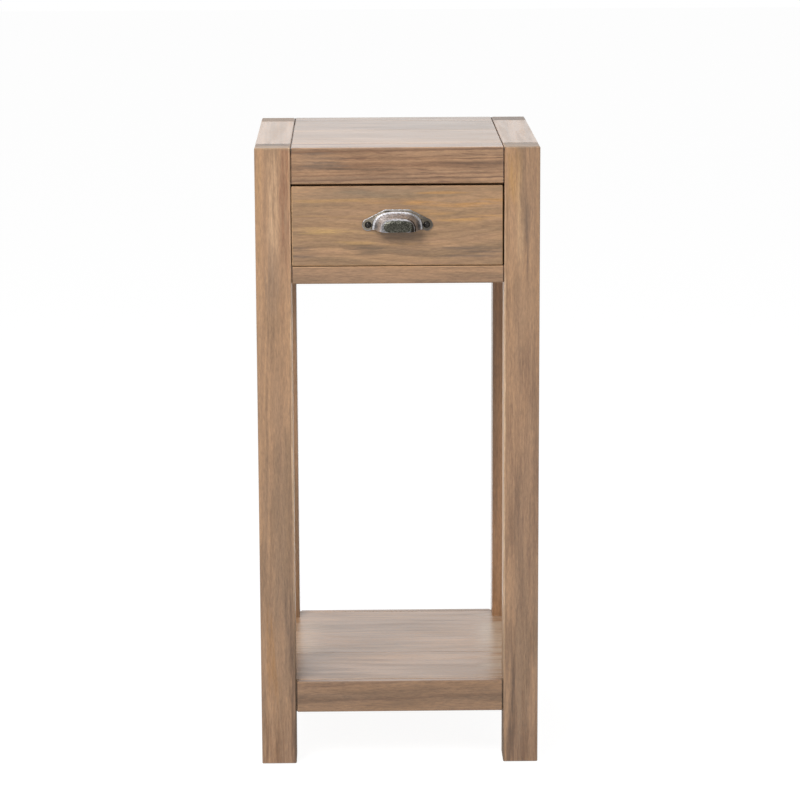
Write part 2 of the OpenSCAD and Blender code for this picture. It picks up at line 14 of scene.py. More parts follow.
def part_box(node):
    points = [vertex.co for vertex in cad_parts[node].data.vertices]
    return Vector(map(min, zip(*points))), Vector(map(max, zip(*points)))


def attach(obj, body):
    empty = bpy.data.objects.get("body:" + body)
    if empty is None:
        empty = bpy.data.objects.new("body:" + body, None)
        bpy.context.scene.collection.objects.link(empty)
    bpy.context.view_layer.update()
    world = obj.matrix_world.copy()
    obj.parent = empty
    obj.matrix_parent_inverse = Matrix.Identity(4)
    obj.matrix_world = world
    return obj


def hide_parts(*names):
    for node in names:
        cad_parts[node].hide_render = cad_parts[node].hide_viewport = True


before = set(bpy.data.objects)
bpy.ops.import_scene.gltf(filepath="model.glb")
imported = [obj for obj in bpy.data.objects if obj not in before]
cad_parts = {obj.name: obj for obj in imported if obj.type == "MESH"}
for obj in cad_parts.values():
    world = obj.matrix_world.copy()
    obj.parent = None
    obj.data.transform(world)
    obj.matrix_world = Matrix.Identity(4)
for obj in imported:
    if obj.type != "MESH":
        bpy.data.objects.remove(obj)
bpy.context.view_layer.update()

LOG = logging.getLogger("side_table")
MM = 0.001

Colour = tuple[float, float, float, float]
Socket = bpy.types.NodeSocket
Value = Union[Socket, float, Sequence[float], str]


# ---------------------------------------------------------------- colour and node helpers


def srgb(code: str) -> Colour:
    """Turns an sRGB hex value into the linear colour that a shader takes.

    Args:
        code: the colour as "#rrggbb".

    Returns:
        Linear red, green, blue and an alpha of one.
    """
    values = [int(code[i:i + 2], 16) / 255 for i in (1, 3, 5)]
    linear = [v / 12.92 if v <= 0.04045 else ((v + 0.055) / 1.055) ** 2.4 for v in values]
    return (linear[0], linear[1], linear[2], 1.0)


def grey(value: float) -> Colour:
    """Gives a linear grey of the given value."""
    return (value, value, value, 1.0)


WHITE = grey(1.0)


class Ease(Enum):
    """How a mapped value runs between the ends of its span."""

    LINEAR = "LINEAR"
    SMOOTH = "SMOOTHSTEP"


class Mixed(Enum):
    """What a Mix node mixes: its data type, the numbers of its two inputs and of its output."""

    NUMBERS = ("FLOAT", 2, 3, 0)
    COLOURS = ("RGBA", 6, 7, 2)


class Net:
    """A shader tree, with a short call for each kind of node that it holds many of.

    A Value is a number, a vector, a colour as "#rrggbb" or the output of another node.
    """

    def __init__(self, tree: bpy.types.NodeTree) -> None:
        """Takes a tree over and empties it."""
        self.tree = tree
        tree.nodes.clear()

    def add(self, kind: str, settings: dict[str, Any] | None = None,
            inputs: dict[int | str, Value] | None = None) -> bpy.types.Node:
        """Adds one node with its settings and links.

        Args:
            kind: Blender's name for the node's type.
            settings: properties of the node.
            inputs: the value of each input, by name or number.

        Returns:
            The new node.
        """
        node = self.tree.nodes.new(kind)
        for name, setting in (settings or {}).items():
            setattr(node, name, setting)
        for key, value in (inputs or {}).items():
            if isinstance(value, Socket):
                self.tree.links.new(value, node.inputs[key])
            else:
                plain = srgb(value) if isinstance(value, str) else value
                node.inputs[key].default_value = plain
        return node

    def outputs(self, kind: str, settings: dict[str, Any] | None = None,
                inputs: dict[int | str, Value] | None = None) -> dict[str, Socket]:
        """Adds one node like add, and gives its outputs by name."""
        return dict(self.add(kind, settings, inputs).outputs.items())

    def maths(self, operation: str, *values: Value, clamp: bool = False) -> Socket:
        """Works on numbers.

        Args:
            operation: Blender's name for the operation.
            values: the one to three numbers that it works on.
            clamp: True keeps the result between 0 and 1.

        Returns:
            The result.
        """
        node = self.add("ShaderNodeMath", {"operation": operation, "use_clamp": clamp},
                        dict(enumerate(values)))
        return node.outputs[0]

    def vectors(self, operation: str, *values: Value) -> Socket:
        """Works on vectors.

        Args:
            operation: Blender's name for the operation.
            values: the one to three vectors that it works on.

        Returns:
            The resulting vector, or the number where a length was asked for.
        """
        node = self.add("ShaderNodeVectorMath", {"operation": operation},
                        dict(enumerate(values)))
        return node.outputs["Value" if operation == "LENGTH" else "Vector"]

    def split(self, vector: Socket) -> tuple[Socket, Socket, Socket]:
        """Takes a vector apart into x, y and z."""
        node = self.add("ShaderNodeSeparateXYZ", None, {0: vector})
        return node.outputs[0], node.outputs[1], node.outputs[2]

    def joined(self, x: Value = 0.0, y: Value = 0.0, z: Value = 0.0) -> Socket:
        """Puts a vector together from x, y and z."""
        return self.add("ShaderNodeCombineXYZ", None, {0: x, 1: y, 2: z}).outputs[0]

    def span(self, value: Value, start: Value, end: Value, low: Value = 0.0,
             high: Value = 1.0, ease: Ease = Ease.SMOOTH) -> Socket:
        """Maps one range onto another. The result stays still outside the range.

        Args:
            value: the value to map.
            start: the value that gives low.
            end: the value that gives high. It may be less than start.
            low: the result at the start.
            high: the result at the end.
            ease: how the result runs from one to the other.

        Returns:
            The mapped value.
        """
        node = self.add("ShaderNodeMapRange", {"interpolation_type": ease.value},
                        {"Value": value, "From Min": start, "From Max": end,
                         "To Min": low, "To Max": high})
        return node.outputs[0]

    def mix(self, share: Value, first: Value, second: Value, kind: Mixed = Mixed.COLOURS,
            blend: str = "MIX") -> Socket:
        """Mixes two colours or numbers.

        Args:
            share: how much the second takes over from the first.
            first: the value where the share is 0.
            second: the value where the share is 1.
            kind: what is mixed.
            blend: Blender's name for the way it mixes.

        Returns:
            The mixed value.
        """
        data_type, first_key, second_key, out_key = kind.value
        node = self.add("ShaderNodeMix", {"data_type": data_type, "blend_type": blend},
                        {0: share, first_key: first, second_key: second})
        return node.outputs[out_key]

    def ramp(self, value: Value, *stops: tuple[float, str | float]) -> Socket:
        """Turns a value from 0 to 1 into a colour.

        Args:
            value: the value.
            stops: places on the ramp, each with an sRGB hex value or a linear grey.

        Returns:
            The colour.
        """
        node = self.add("ShaderNodeValToRGB", None, {"Fac": value})
        elements = node.color_ramp.elements
        while len(elements) < len(stops):
            elements.new(0.5)
        for element, (place, tone) in zip(elements, stops):
            element.position = place
            element.color = srgb(tone) if isinstance(tone, str) else grey(tone)
        return node.outputs[0]

    def noise(self, place: Value, scale: float, detail: float, roughness: float = 0.5,
              output: str = "Fac") -> Socket:
        """Adds soft noise.

        Args:
            place: where a point lies.
            scale: the number of patches in one unit of the place.
            detail: the number of finer octaves.
            roughness: how strong the finer octaves are.
            output: Fac for one number, Color for three of their own.

        Returns:
            The noise, around 0.5.
        """
        node = self.add("ShaderNodeTexNoise", None,
                        {"Vector": place, "Scale": scale, "Detail": detail,
                         "Roughness": roughness})
        return node.outputs[output]

    def place(self) -> Socket:
        """Gives a point's place on its object, in metres."""
        return self.add("ShaderNodeTexCoord").outputs["Object"]

    def laid(self, location: Sequence[float], scale: Sequence[float],
             rotation: Sequence[float] = (0.0, 0.0, 0.0)) -> Socket:
        """Gives a point's place in coordinates of one's own.

        Args:
            location: the shift, taken last.
            scale: the scale of each axis, taken first.
            rotation: the turn in radians.

        Returns:
            The place.
        """
        node = self.add("ShaderNodeMapping", None,
                        {"Vector": self.place(), "Location": location, "Rotation": rotation,
                         "Scale": scale})
        return node.outputs[0]

    def ridges(self) -> Socket:
        """Tells ridges, above 0.5, from hollows, below it."""
        return self.add("ShaderNodeNewGeometry").outputs["Pointiness"]

    def bump(self, height: Socket, strength: float, depth: float) -> Socket:
        """Turns a height into a slope of the surface; depth is in millimetres."""
        return self.add("ShaderNodeBump", None, {
            "Height": height, "Strength": strength, "Distance": depth * MM}).outputs[0]

    def surface(self, shader: bpy.types.Node) -> None:
        """Makes a shader the material's surface."""
        self.add("ShaderNodeOutputMaterial", None, {"Surface": shader.outputs[0]})

    def principled(self, inputs: dict[int | str, Value]) -> None:
        """Makes a Principled shader with these inputs the material's surface."""
        self.surface(self.add("ShaderNodeBsdfPrincipled", None, inputs))


def new_material(name: str) -> tuple[bpy.types.Material, Net]:
    """Makes a material.

    Args:
        name: the material's name.

    Returns:
        The material and its empty net.
    """
    material = bpy.data.materials.new(name)
    material.use_nodes = True
    return material, Net(material.node_tree)


def paint(material: bpy.types.Material, nodes: Iterable[str]) -> None:
    """Gives CAD nodes a material.

    Args:
        material: the material.
        nodes: the names of the nodes.
    """
    for name in nodes:
        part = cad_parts[name]
        part.data.materials.clear()
        part.data.materials.append(material)


# ---------------------------------------------------------------- boards


class Grain(Enum):
    """The axis along which a board's fibres run."""

    X = "x"
    Y = "y"
    Z = "z"

    def turn(self) -> Matrix:
        """Lays the fibres along a board's first axis.

        Returns:
            The rotation.
        """
        if self is Grain.Y:
            return Matrix.Rotation(-math.pi / 2, 3, "Z")
        if self is Grain.Z:
            return Matrix.Rotation(math.pi / 2, 3, "Y")
        return Matrix.Identity(3)


@dataclass(frozen=True)
class Mark:
    """A soft blotch of colour, in millimetres from the board's middle: mostly where the stain
    took more or less, and in some places painted shade, painted highlights and painted
    reflections.

    sanded is how much rougher the wood is there, where the seal is off.
    """

    at: tuple[float, float, float]
    reach: tuple[float, float, float]
    code: str
    strength: float
    sanded: float = 0.0


# The reach, in millimetres, of a mark that goes through a board from front to back
THROUGH = 30.0

# How far apart, in millimetres, two boards with neighbouring seeds lie in the pattern
SEED_STEP = (131.7, 57.3, 91.1)

# How much of its shift a patch takes on each axis, so that no two patches line up
SHIFT_SHARES = (1.0, 1.7, 2.3)


def blot(x: float, z: float, wide: float, high: float, code: str, strength: float) -> Mark:
    """Makes a mark that goes through a board, by its place and reach on the front."""
    return Mark((x, 0.0, z), (wide, THROUGH, high), code, strength)


@dataclass(frozen=True)
class Board:
    """How one board was cut from the log, all in millimetres.

    heart is the log's centre line, seen along the fibres and counted from the board's middle.
    ring is the width of a year's growth, wander is how far the rings stray from round, and lean
    is how fast they widen along the fibres. seed sets the board apart from the others. bow is
    how far the heart swings, over which length, and where. figure and streaks are the strengths
    of the rings and of the dark lines, and tone and warmth shift the whole board.
    """

    node: str
    grain: Grain
    heart: tuple[float, float]
    ring: float = 3.2
    wander: float = 7.0
    lean: float = 0.012
    seed: float = 0.0
    bow: tuple[float, float, float] = (0.0, 400.0, 0.0)
    figure: float = 0.3
    streaks: float = 0.25
    tone: float = 0.0
    warmth: float = 0.0
    marks: tuple[Mark, ...] = ()

    def middle(self) -> Vector:
        """Gives the board's middle in the frame."""
        low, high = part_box(self.node)
        return (low + high) / 2 / MM

    def half(self) -> Vector:
        """Measures the board.

        Returns:
            Half its size along the fibres and the two ways across them.
        """
        low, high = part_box(self.node)
        size = self.grain.turn() @ ((high - low) / 2 / MM)
        return Vector([abs(v) for v in size])

    def offset(self) -> Vector:
        """Gives the shift that makes the board's pattern its own."""
        return Vector([self.seed * step for step in SEED_STEP])

    def bending(self) -> Vector:
        """Gives the heart's swing: how far, the length of a radian, and where it peaks."""
        swing, length, peak = self.bow
        return Vector((swing, length / math.tau, peak))


@dataclass(frozen=True)
class Patch:
    """Noise drawn out along the fibres, with patches of so many millimetres.

    octaves and roughness are the number and the strength of the finer patches in it, and shift
    sets it apart from other noise.
    """

    along: float
    across: float
    octaves: float
    shift: float
    roughness: float = 0.5


@dataclass
class Softwood:
    """Growth rings, fibres and clouds of sawn pine, as one node group for every board.

    Lengths are in millimetres. Real fibres are a few hundredths of a millimetre wide, too fine
    to show, so they're drawn a millimetre and a half wide. A year's wood starts pale, darkens
    slowly and ends in a sharp dark line: year lists how dark it is at which share of its growth.
    Good and bad years crowd and spread the rings by weather_years. Bands keep to the rings and
    fade along band_length. Edges, which the finish lightens as wear and as a painted highlight,
    and end faces count from the board's faces.
    """

    stray: Patch = Patch(260, 46, 1.0, 3.1)
    ripple: Patch = Patch(34, 7, 2.0, 5.3)
    fibre: Patch = Patch(8, 1.5, 3.0, 7.9, 0.68)
    line: Patch = Patch(46, 2.6, 3.0, 11.3, 0.66)
    cloud: Patch = Patch(120, 24, 2.0, 17.9)
    vein: Patch = Patch(110, 11, 2.0, 23.7, 0.6)
    wear: Patch = Patch(19, 5, 2.0, 29.3)
    ripple_reach: float = 1.6
    weather_rate: float = 0.37
    weather_years: float = 2.6
    year: tuple[tuple[float, float], ...] = (
        (0.0, 0.25), (0.14, 0.0), (0.5, 0.2), (0.8, 0.85), (0.92, 1.0), (1.0, 0.25))
    faintest_year: float = 0.25
    band_rate: float = 0.55
    band_length: float = 240
    wear_at: tuple[float, float] = (0.3, 0.75)
    edge_from: float = 0.2
    edge_reach: tuple[float, float] = (0.9, 2.8)
    end_reach: tuple[float, float] = (0.05, 0.8)
    tree: bpy.types.NodeTree = field(init=False)
    net: Net = field(init=False)
    enter: dict[str, Socket] = field(init=False)

    def __post_init__(self) -> None:
        """Builds the group."""
        self.tree = bpy.data.node_groups.new("sawn_softwood", "ShaderNodeTree")
        sockets = {
            "INPUT": {"NodeSocketVector": ("Place", "Heart", "Seed", "Half", "Bow"),
                      "NodeSocketFloat": ("Ring", "Wander", "Lean")},
            "OUTPUT": {"NodeSocketFloat": ("Late", "Band", "Fibre", "Streak", "Cloud", "Vein",
                                           "Edge", "End")},
        }
        for in_out, kinds in sockets.items():
            for kind, names in kinds.items():
                for name in names:
                    self.tree.interface.new_socket(name=name, in_out=in_out, socket_type=kind)
        self.net = Net(self.tree)
        self.enter = self.net.outputs("NodeGroupInput")
        self.net.add("NodeGroupOutput", None, {**self.rings(), **self.fibres(), **self.faces()})

    def patches(self, patch: Patch, output: str = "Fac") -> Socket:
        """Adds noise drawn out along the fibres.

        Args:
            patch: the noise.
            output: Fac for one number, Color for three of their own.

        Returns:
            The noise.
        """
        net = self.net
        seeded = net.vectors("ADD", self.enter["Place"], self.enter["Seed"])
        scaled = net.vectors("MULTIPLY_ADD", seeded,
                             (1 / patch.along, 1 / patch.across, 1 / patch.across),
                             tuple(patch.shift * share for share in SHIFT_SHARES))
        return net.noise(scaled, 1.0, patch.octaves, patch.roughness, output)

    def bent(self, along: Socket) -> Socket:
        """Finds how far the heart has swung.

        Args:
            along: the place along the fibres.

        Returns:
            The swing as a vector.
        """
        swing, radian, peak = self.net.split(self.enter["Bow"])
        angle = self.net.maths("DIVIDE", self.net.maths("SUBTRACT", along, peak), radian)
        swung = self.net.maths("MULTIPLY", self.net.maths("COSINE", angle), swing)
        return self.net.joined(z=swung)

    def strayed(self) -> Socket:
        """Finds where a point lies once slow waves and small ripples have moved the rings.

        Returns:
            The place.
        """
        net, ripple = self.net, self.patches(self.ripple, "Color")
        centred = net.vectors("SUBTRACT", self.patches(self.stray, "Color"), (0.5, 0.5, 0.5))
        waved = net.add("ShaderNodeVectorMath", {"operation": "SCALE"},
                        {0: centred, "Scale": self.enter["Wander"]}).outputs[0]
        rippled = net.vectors("MULTIPLY_ADD", ripple, (self.ripple_reach,) * 3, waved)
        return net.vectors("ADD", rippled, self.enter["Place"])

    def rings(self) -> dict[str, Socket]:
        """Adds the growth rings.

        Returns:
            The dark late wood, and bands that keep to the rings, from 0 to 1.
        """
        net, enter = self.net, self.enter
        along = net.split(enter["Place"])[0]
        curved = net.vectors("ADD", self.strayed(), self.bent(along))
        from_heart = net.vectors("SUBTRACT", curved, enter["Heart"])
        radius = net.vectors("LENGTH", net.vectors("MULTIPLY", from_heart, (0.0, 1.0, 1.0)))
        grown = net.maths("MULTIPLY_ADD", along, enter["Lean"], radius)
        years = net.maths("DIVIDE", grown, enter["Ring"])
        weather = net.add("ShaderNodeTexNoise", {"noise_dimensions": "1D"},
                          {"W": years, "Scale": self.weather_rate, "Detail": 1.0}).outputs["Fac"]
        uneven = net.maths("MULTIPLY_ADD", weather, self.weather_years, years)
        late = net.ramp(net.maths("FRACT", uneven), *self.year)
        luck = net.add("ShaderNodeTexWhiteNoise", {"noise_dimensions": "1D"},
                       {"W": net.maths("FLOOR", uneven)}).outputs["Value"]
        strength = net.span(luck, 0.0, 1.0, self.faintest_year, 1.0, Ease.LINEAR)
        dark = net.maths("MULTIPLY", late, strength)
        sheet = net.joined(uneven, net.maths("MULTIPLY", along, 1 / self.band_length))
        band = net.add("ShaderNodeTexNoise", {"noise_dimensions": "2D"},
                       {"Vector": net.vectors("ADD", sheet, enter["Seed"]),
                        "Scale": self.band_rate, "Detail": 2.0}).outputs["Fac"]
        return {"Late": dark, "Band": band}

    def fibres(self) -> dict[str, Socket]:
        """Adds what lies along the fibres.

        Returns:
            Fine fibres, dark streaks, wide clouds and slow veins, each from 0 to 1.
        """
        return {"Fibre": self.patches(self.fibre), "Streak": self.patches(self.line),
                "Cloud": self.patches(self.cloud), "Vein": self.patches(self.vein)}

    def faces(self) -> dict[str, Socket]:
        """Adds what depends on where a point lies on the board.

        Returns:
            Nearness to an edge and to an end face, each from 0 to 1.
        """
        net = self.net
        inward = net.vectors("ABSOLUTE", self.enter["Place"])
        along, wide, thick = net.split(net.vectors("SUBTRACT", self.enter["Half"], inward))
        least, most = net.maths("MINIMUM", wide, thick), net.maths("MAXIMUM", wide, thick)
        second = net.maths("MAXIMUM", least, net.maths("MINIMUM", most, along))
        worn = self.patches(self.wear)
        reach = net.span(worn, *self.wear_at, *self.edge_reach, Ease.LINEAR)
        return {"Edge": net.span(second, self.edge_from, reach, 1.0, 0.0),
                "End": net.span(along, *self.end_reach, 1.0, 0.0)}


# ---------------------------------------------------------------- finishes


@dataclass(frozen=True)
class WoodFinish:
    """A finish on a softwood board. Colours are sRGB hex values, and relief is in millimetres.

    A field that ends in _at says where in the wood's structure a colour starts to show and where
    it shows in full. matt_at is the span of fibres that changes the roughness by matt_by. The
    coat is thinnest, at coat_low of its weight, between the veins of coat_at, and an end face
    keeps end_seal of it. fray is how far the veins tear a mark's outline.
    """

    name: str
    early: str
    late: str
    honey: str
    wash: str
    streak: str
    end: str
    roughness: float
    coat: float
    relief: float
    warm_at: tuple[float, float] = (0.9, 1.2)
    wash_at: tuple[float, float] = (1.06, 0.8)
    wash_share: float = 0.8
    streak_at: tuple[float, float] = (0.46, 0.3)
    end_share: float = 0.75
    fibre_at: tuple[float, float] = (0.25, 0.75)
    fibre_swing: float = 0.24
    # How much lighter the edges are: part wear, part painted highlight
    edge_wear_and_highlight_gain: float = 0.06
    mark_at: tuple[float, float] = (4.1, 2.7)
    fray: float = 2.6
    matt_at: tuple[float, float] = (0.3, 0.7)
    matt_by: tuple[float, float] = (-0.06, 0.07)
    coat_at: tuple[float, float] = (0.3, 0.65)
    coat_low: float = 0.7
    coat_roughness: float = 0.25
    end_seal: float = 0.25
    ring_relief: float = 0.5
    varnish_ior: float = 1.5

    def dress(self, board: Board, softwood: Softwood) -> None:
        """Gives a board's CAD node this finish.

        Args:
            board: the board and how it was cut.
            softwood: the group that holds the wood's structure.
        """
        material, net = new_material(f"{self.name}_{board.node}")
        wood = self.structure(net, board, softwood)
        covers = [self.cover(net, wood, board, mark) for mark in board.marks]
        rough = net.span(wood["Fibre"], *self.matt_at,
                         *(self.roughness + change for change in self.matt_by), Ease.LINEAR)
        film = net.span(wood["Vein"], *self.coat_at, self.coat * self.coat_low, self.coat)
        bare = net.span(wood["End"], 0.0, 1.0, 1.0, self.end_seal, Ease.LINEAR)
        sealed = net.maths("MULTIPLY", film, bare)
        for mark, cover in zip(board.marks, covers):
            if mark.sanded:
                rough = net.maths("MULTIPLY_ADD", cover, mark.sanded, rough, clamp=True)
                sealed = net.maths("SUBTRACT", sealed, cover, clamp=True)
        height = net.maths("MULTIPLY_ADD", wood["Late"], self.ring_relief, wood["Fibre"])
        net.principled({
            "Base Color": self.colour(net, wood, board, covers), "Roughness": rough,
            "Normal": net.bump(height, 0.5, self.relief), "IOR": self.varnish_ior,
            "Coat Weight": sealed, "Coat Roughness": self.coat_roughness,
            "Coat IOR": self.varnish_ior,
        })
        paint(material, (board.node,))

    def structure(self, net: Net, board: Board, softwood: Softwood) -> dict[str, Socket]:
        """Adds the wood's structure, laid along the board.

        Args:
            net: the material's net.
            board: the board and how it was cut.
            softwood: the group that holds the wood's structure.

        Returns:
            The group's outputs by name.
        """
        turn = board.grain.turn()
        place = net.laid(-(turn @ board.middle()), (1 / MM,) * 3, turn.to_euler())
        return net.outputs("ShaderNodeGroup", {"node_tree": softwood.tree}, {
            "Place": place, "Heart": (0.0, *board.heart), "Seed": board.offset(),
            "Half": board.half(), "Bow": board.bending(), "Ring": board.ring,
            "Wander": board.wander, "Lean": board.lean})

    def colour(self, net: Net, wood: dict[str, Socket], board: Board,
               covers: Sequence[Socket]) -> Socket:
        """Mixes the finish's colours over the wood's structure.

        Args:
            net: the material's net.
            wood: the wood's structure.
            board: the board, whose tone and warmth shift the mix.
            covers: how much each of its marks covers.

        Returns:
            The colour.
        """
        start, full = self.warm_at
        warm = net.span(net.maths("ADD", wood["Band"], wood["Cloud"]),
                        start - board.warmth, full - board.warmth)
        colour = net.mix(warm, self.early, self.honey)
        washed = net.span(net.maths("ADD", wood["Band"], wood["Vein"]), *self.wash_at,
                          high=self.wash_share)
        colour = net.mix(washed, colour, self.wash)
        colour = net.mix(net.maths("MULTIPLY", wood["Late"], board.figure), colour, self.late)
        line = net.span(wood["Streak"], *self.streak_at, high=board.streaks)
        colour = net.mix(line, colour, self.streak)
        colour = net.mix(net.maths("MULTIPLY", wood["End"], self.end_share), colour, self.end)
        for mark, cover in zip(board.marks, covers):
            colour = net.mix(cover, colour, mark.code)
        fine = net.span(wood["Fibre"], *self.fibre_at, 1 - self.fibre_swing + board.tone,
                        1 + self.fibre_swing + board.tone, Ease.LINEAR)
        # Edges are lighter: part wear, part painted highlight
        light = net.maths("MULTIPLY_ADD", wood["Edge"], self.edge_wear_and_highlight_gain, fine)
        return net.mix(1.0, colour, light, blend="MULTIPLY")

    def cover(self, net: Net, wood: dict[str, Socket], board: Board, mark: Mark) -> Socket:
        """Finds how much a mark covers.

        Args:
            net: the material's net.
            wood: the wood's structure, whose veins and streaks fray the mark.
            board: the board that it lies on.
            mark: the mark.

        Returns:
            From 0 outside to the mark's strength inside.
        """
        shift = [-(m + a) / r for m, a, r in zip(board.middle(), mark.at, mark.reach)]
        away = net.vectors("LENGTH", net.laid(shift, [1 / (MM * r) for r in mark.reach]))
        frayed = net.maths("ADD", wood["Vein"], wood["Streak"])
        torn = net.maths("MULTIPLY_ADD", frayed, self.fray, away)
        return net.span(torn, *self.mark_at, high=mark.strength)


# Pine, planed, stained driftwood brown and sealed with satin varnish: the stain sinks into the
# soft early wood and leaves hard late wood as fine dark lines, and the seal shines at a slant.
WASHED_PINE = WoodFinish(
    name="satin_washed_pine", early="#a98361", late="#78553b", honey="#b98f69",
    wash="#957557", streak="#6e503a", end="#84694f", roughness=0.45, coat=1.0, relief=0.1,
)

# Pine, planed and left bare inside the carcass: pale, dry and matt, with honey late wood.
RAW_PINE = WoodFinish(
    name="bare_planed_pine", early="#e2c79b", late="#b98c58", honey="#dcb980",
    wash="#dcc7a4", streak="#c39d6c", end="#c8a878", roughness=0.62, coat=0.0, relief=0.16,
)


@dataclass(frozen=True)
class TurnedBeech:
    """Beech, turned into dowels: pale pinkish tan with short fine flecks along the dowel."""

    name: str = "turned_beech"
    light: str = "#d9b78b"
    dark: str = "#bb9065"
    light_at: tuple[float, float] = (0.35, 0.62)
    fleck_mm: float = 1.2
    roughness: float = 0.55

    def dress(self, nodes: Iterable[str]) -> None:
        """Gives sets of dowels this finish.

        Args:
            nodes: the names of the CAD nodes.
        """
        material, net = new_material(self.name)
        fleck = net.noise(net.place(), 1 / (self.fleck_mm * MM), 3.0)
        colour = net.ramp(fleck, *zip(self.light_at, (self.dark, self.light)))
        net.principled({"Base Color": colour, "Roughness": self.roughness})
        paint(material, nodes)


@dataclass(frozen=True)
class ShadeWax:
    """Shellac wax, melted in and scraped off: dark brown and half dull, with paler crumbs. Its
    dark colour is painted shade in the groove ends that it fills.

    Real crumbs are a few tenths of a millimetre wide, too fine to show, so they're drawn larger.
    """

    name: str = "scraped_hard_wax_shade"
    dark: str = "#3a2b20"
    crumb: str = "#5c4735"
    crumb_at: tuple[float, float] = (0.4, 0.7)
    crumb_mm: float = 1.4
    roughness: float = 0.6
    relief: float = 0.2

    def material(self) -> bpy.types.Material:
        """Makes the material.

        Returns:
            A material with the crumbs in its colour and its relief.
        """
        material, net = new_material(self.name)
        crumbs = net.noise(net.place(), 1 / (self.crumb_mm * MM), 3.0)
        colour = net.ramp(crumbs, *zip(self.crumb_at, (self.dark, self.crumb)))
        net.principled({"Base Color": colour, "Roughness": self.roughness,
                        "Normal": net.bump(crumbs, 0.4, self.relief)})
        return material


@dataclass(frozen=True)
class MetalFinish:
    """A metal with a film over it: bright where it is rubbed, dark in its hollows.

    film_low and film_high are where the film is whole and where it is gone, ridge_at is the span
    from hollows to ridges, and ridge_gain is how much they count beside the grit. Grit and dents
    are drawn a millimetre and more wide, because real ones would be too fine to show.
    """

    name: str
    bright: str
    film: str
    film_low: float
    film_high: float
    grit_mm: float
    dent_mm: float
    roughness: float
    relief: float
    ridge_at: tuple[float, float] = (0.44, 0.56)
    ridge_gain: float = 0.35
    grit_relief: float = 0.35
    film_roughness: float = 0.2

    def dress(self, nodes: Iterable[str]) -> None:
        """Gives CAD nodes this finish, with the film in colour, roughness and relief.

        Args:
            nodes: the names of the CAD nodes.
        """
        material, net = new_material(self.name)
        grit = net.noise(net.place(), 1 / (self.grit_mm * MM), 4.0, 0.6)
        dent = net.noise(net.place(), 1 / (self.dent_mm * MM), 2.0)
        worn = net.span(net.ridges(), *self.ridge_at, -self.ridge_gain, self.ridge_gain,
                        Ease.LINEAR)
        bare = net.span(net.maths("ADD", worn, grit), self.film_low, self.film_high)
        rough = net.span(bare, 0.0, 1.0, self.roughness + self.film_roughness,
                         self.roughness, Ease.LINEAR)
        height = net.maths("MULTIPLY_ADD", grit, self.grit_relief, dent)
        net.principled({"Base Color": net.mix(bare, self.film, self.bright), "Metallic": 1.0,
                        "Roughness": rough, "Normal": net.bump(height, 0.6, self.relief)})
        paint(material, nodes)


# Steel, domed and blackened by heat and oil: almost black, with a soft shine.
BLACK_STEEL = MetalFinish(
    name="oil_blackened_steel", bright="#4a4744", film="#1d1c1b", film_low=0.5,
    film_high=0.8, grit_mm=1.2, dent_mm=3.0, roughness=0.2, relief=0.05,
)

# Steel, rolled and zinc plated: cool grey with faint milky patches.
ZINC_STEEL = MetalFinish(
    name="zinc_plated_steel", bright="#b9bcc0", film="#8b8f93", film_low=0.35,
    film_high=0.65, grit_mm=1.6, dent_mm=5.0, roughness=0.3, relief=0.03,
)


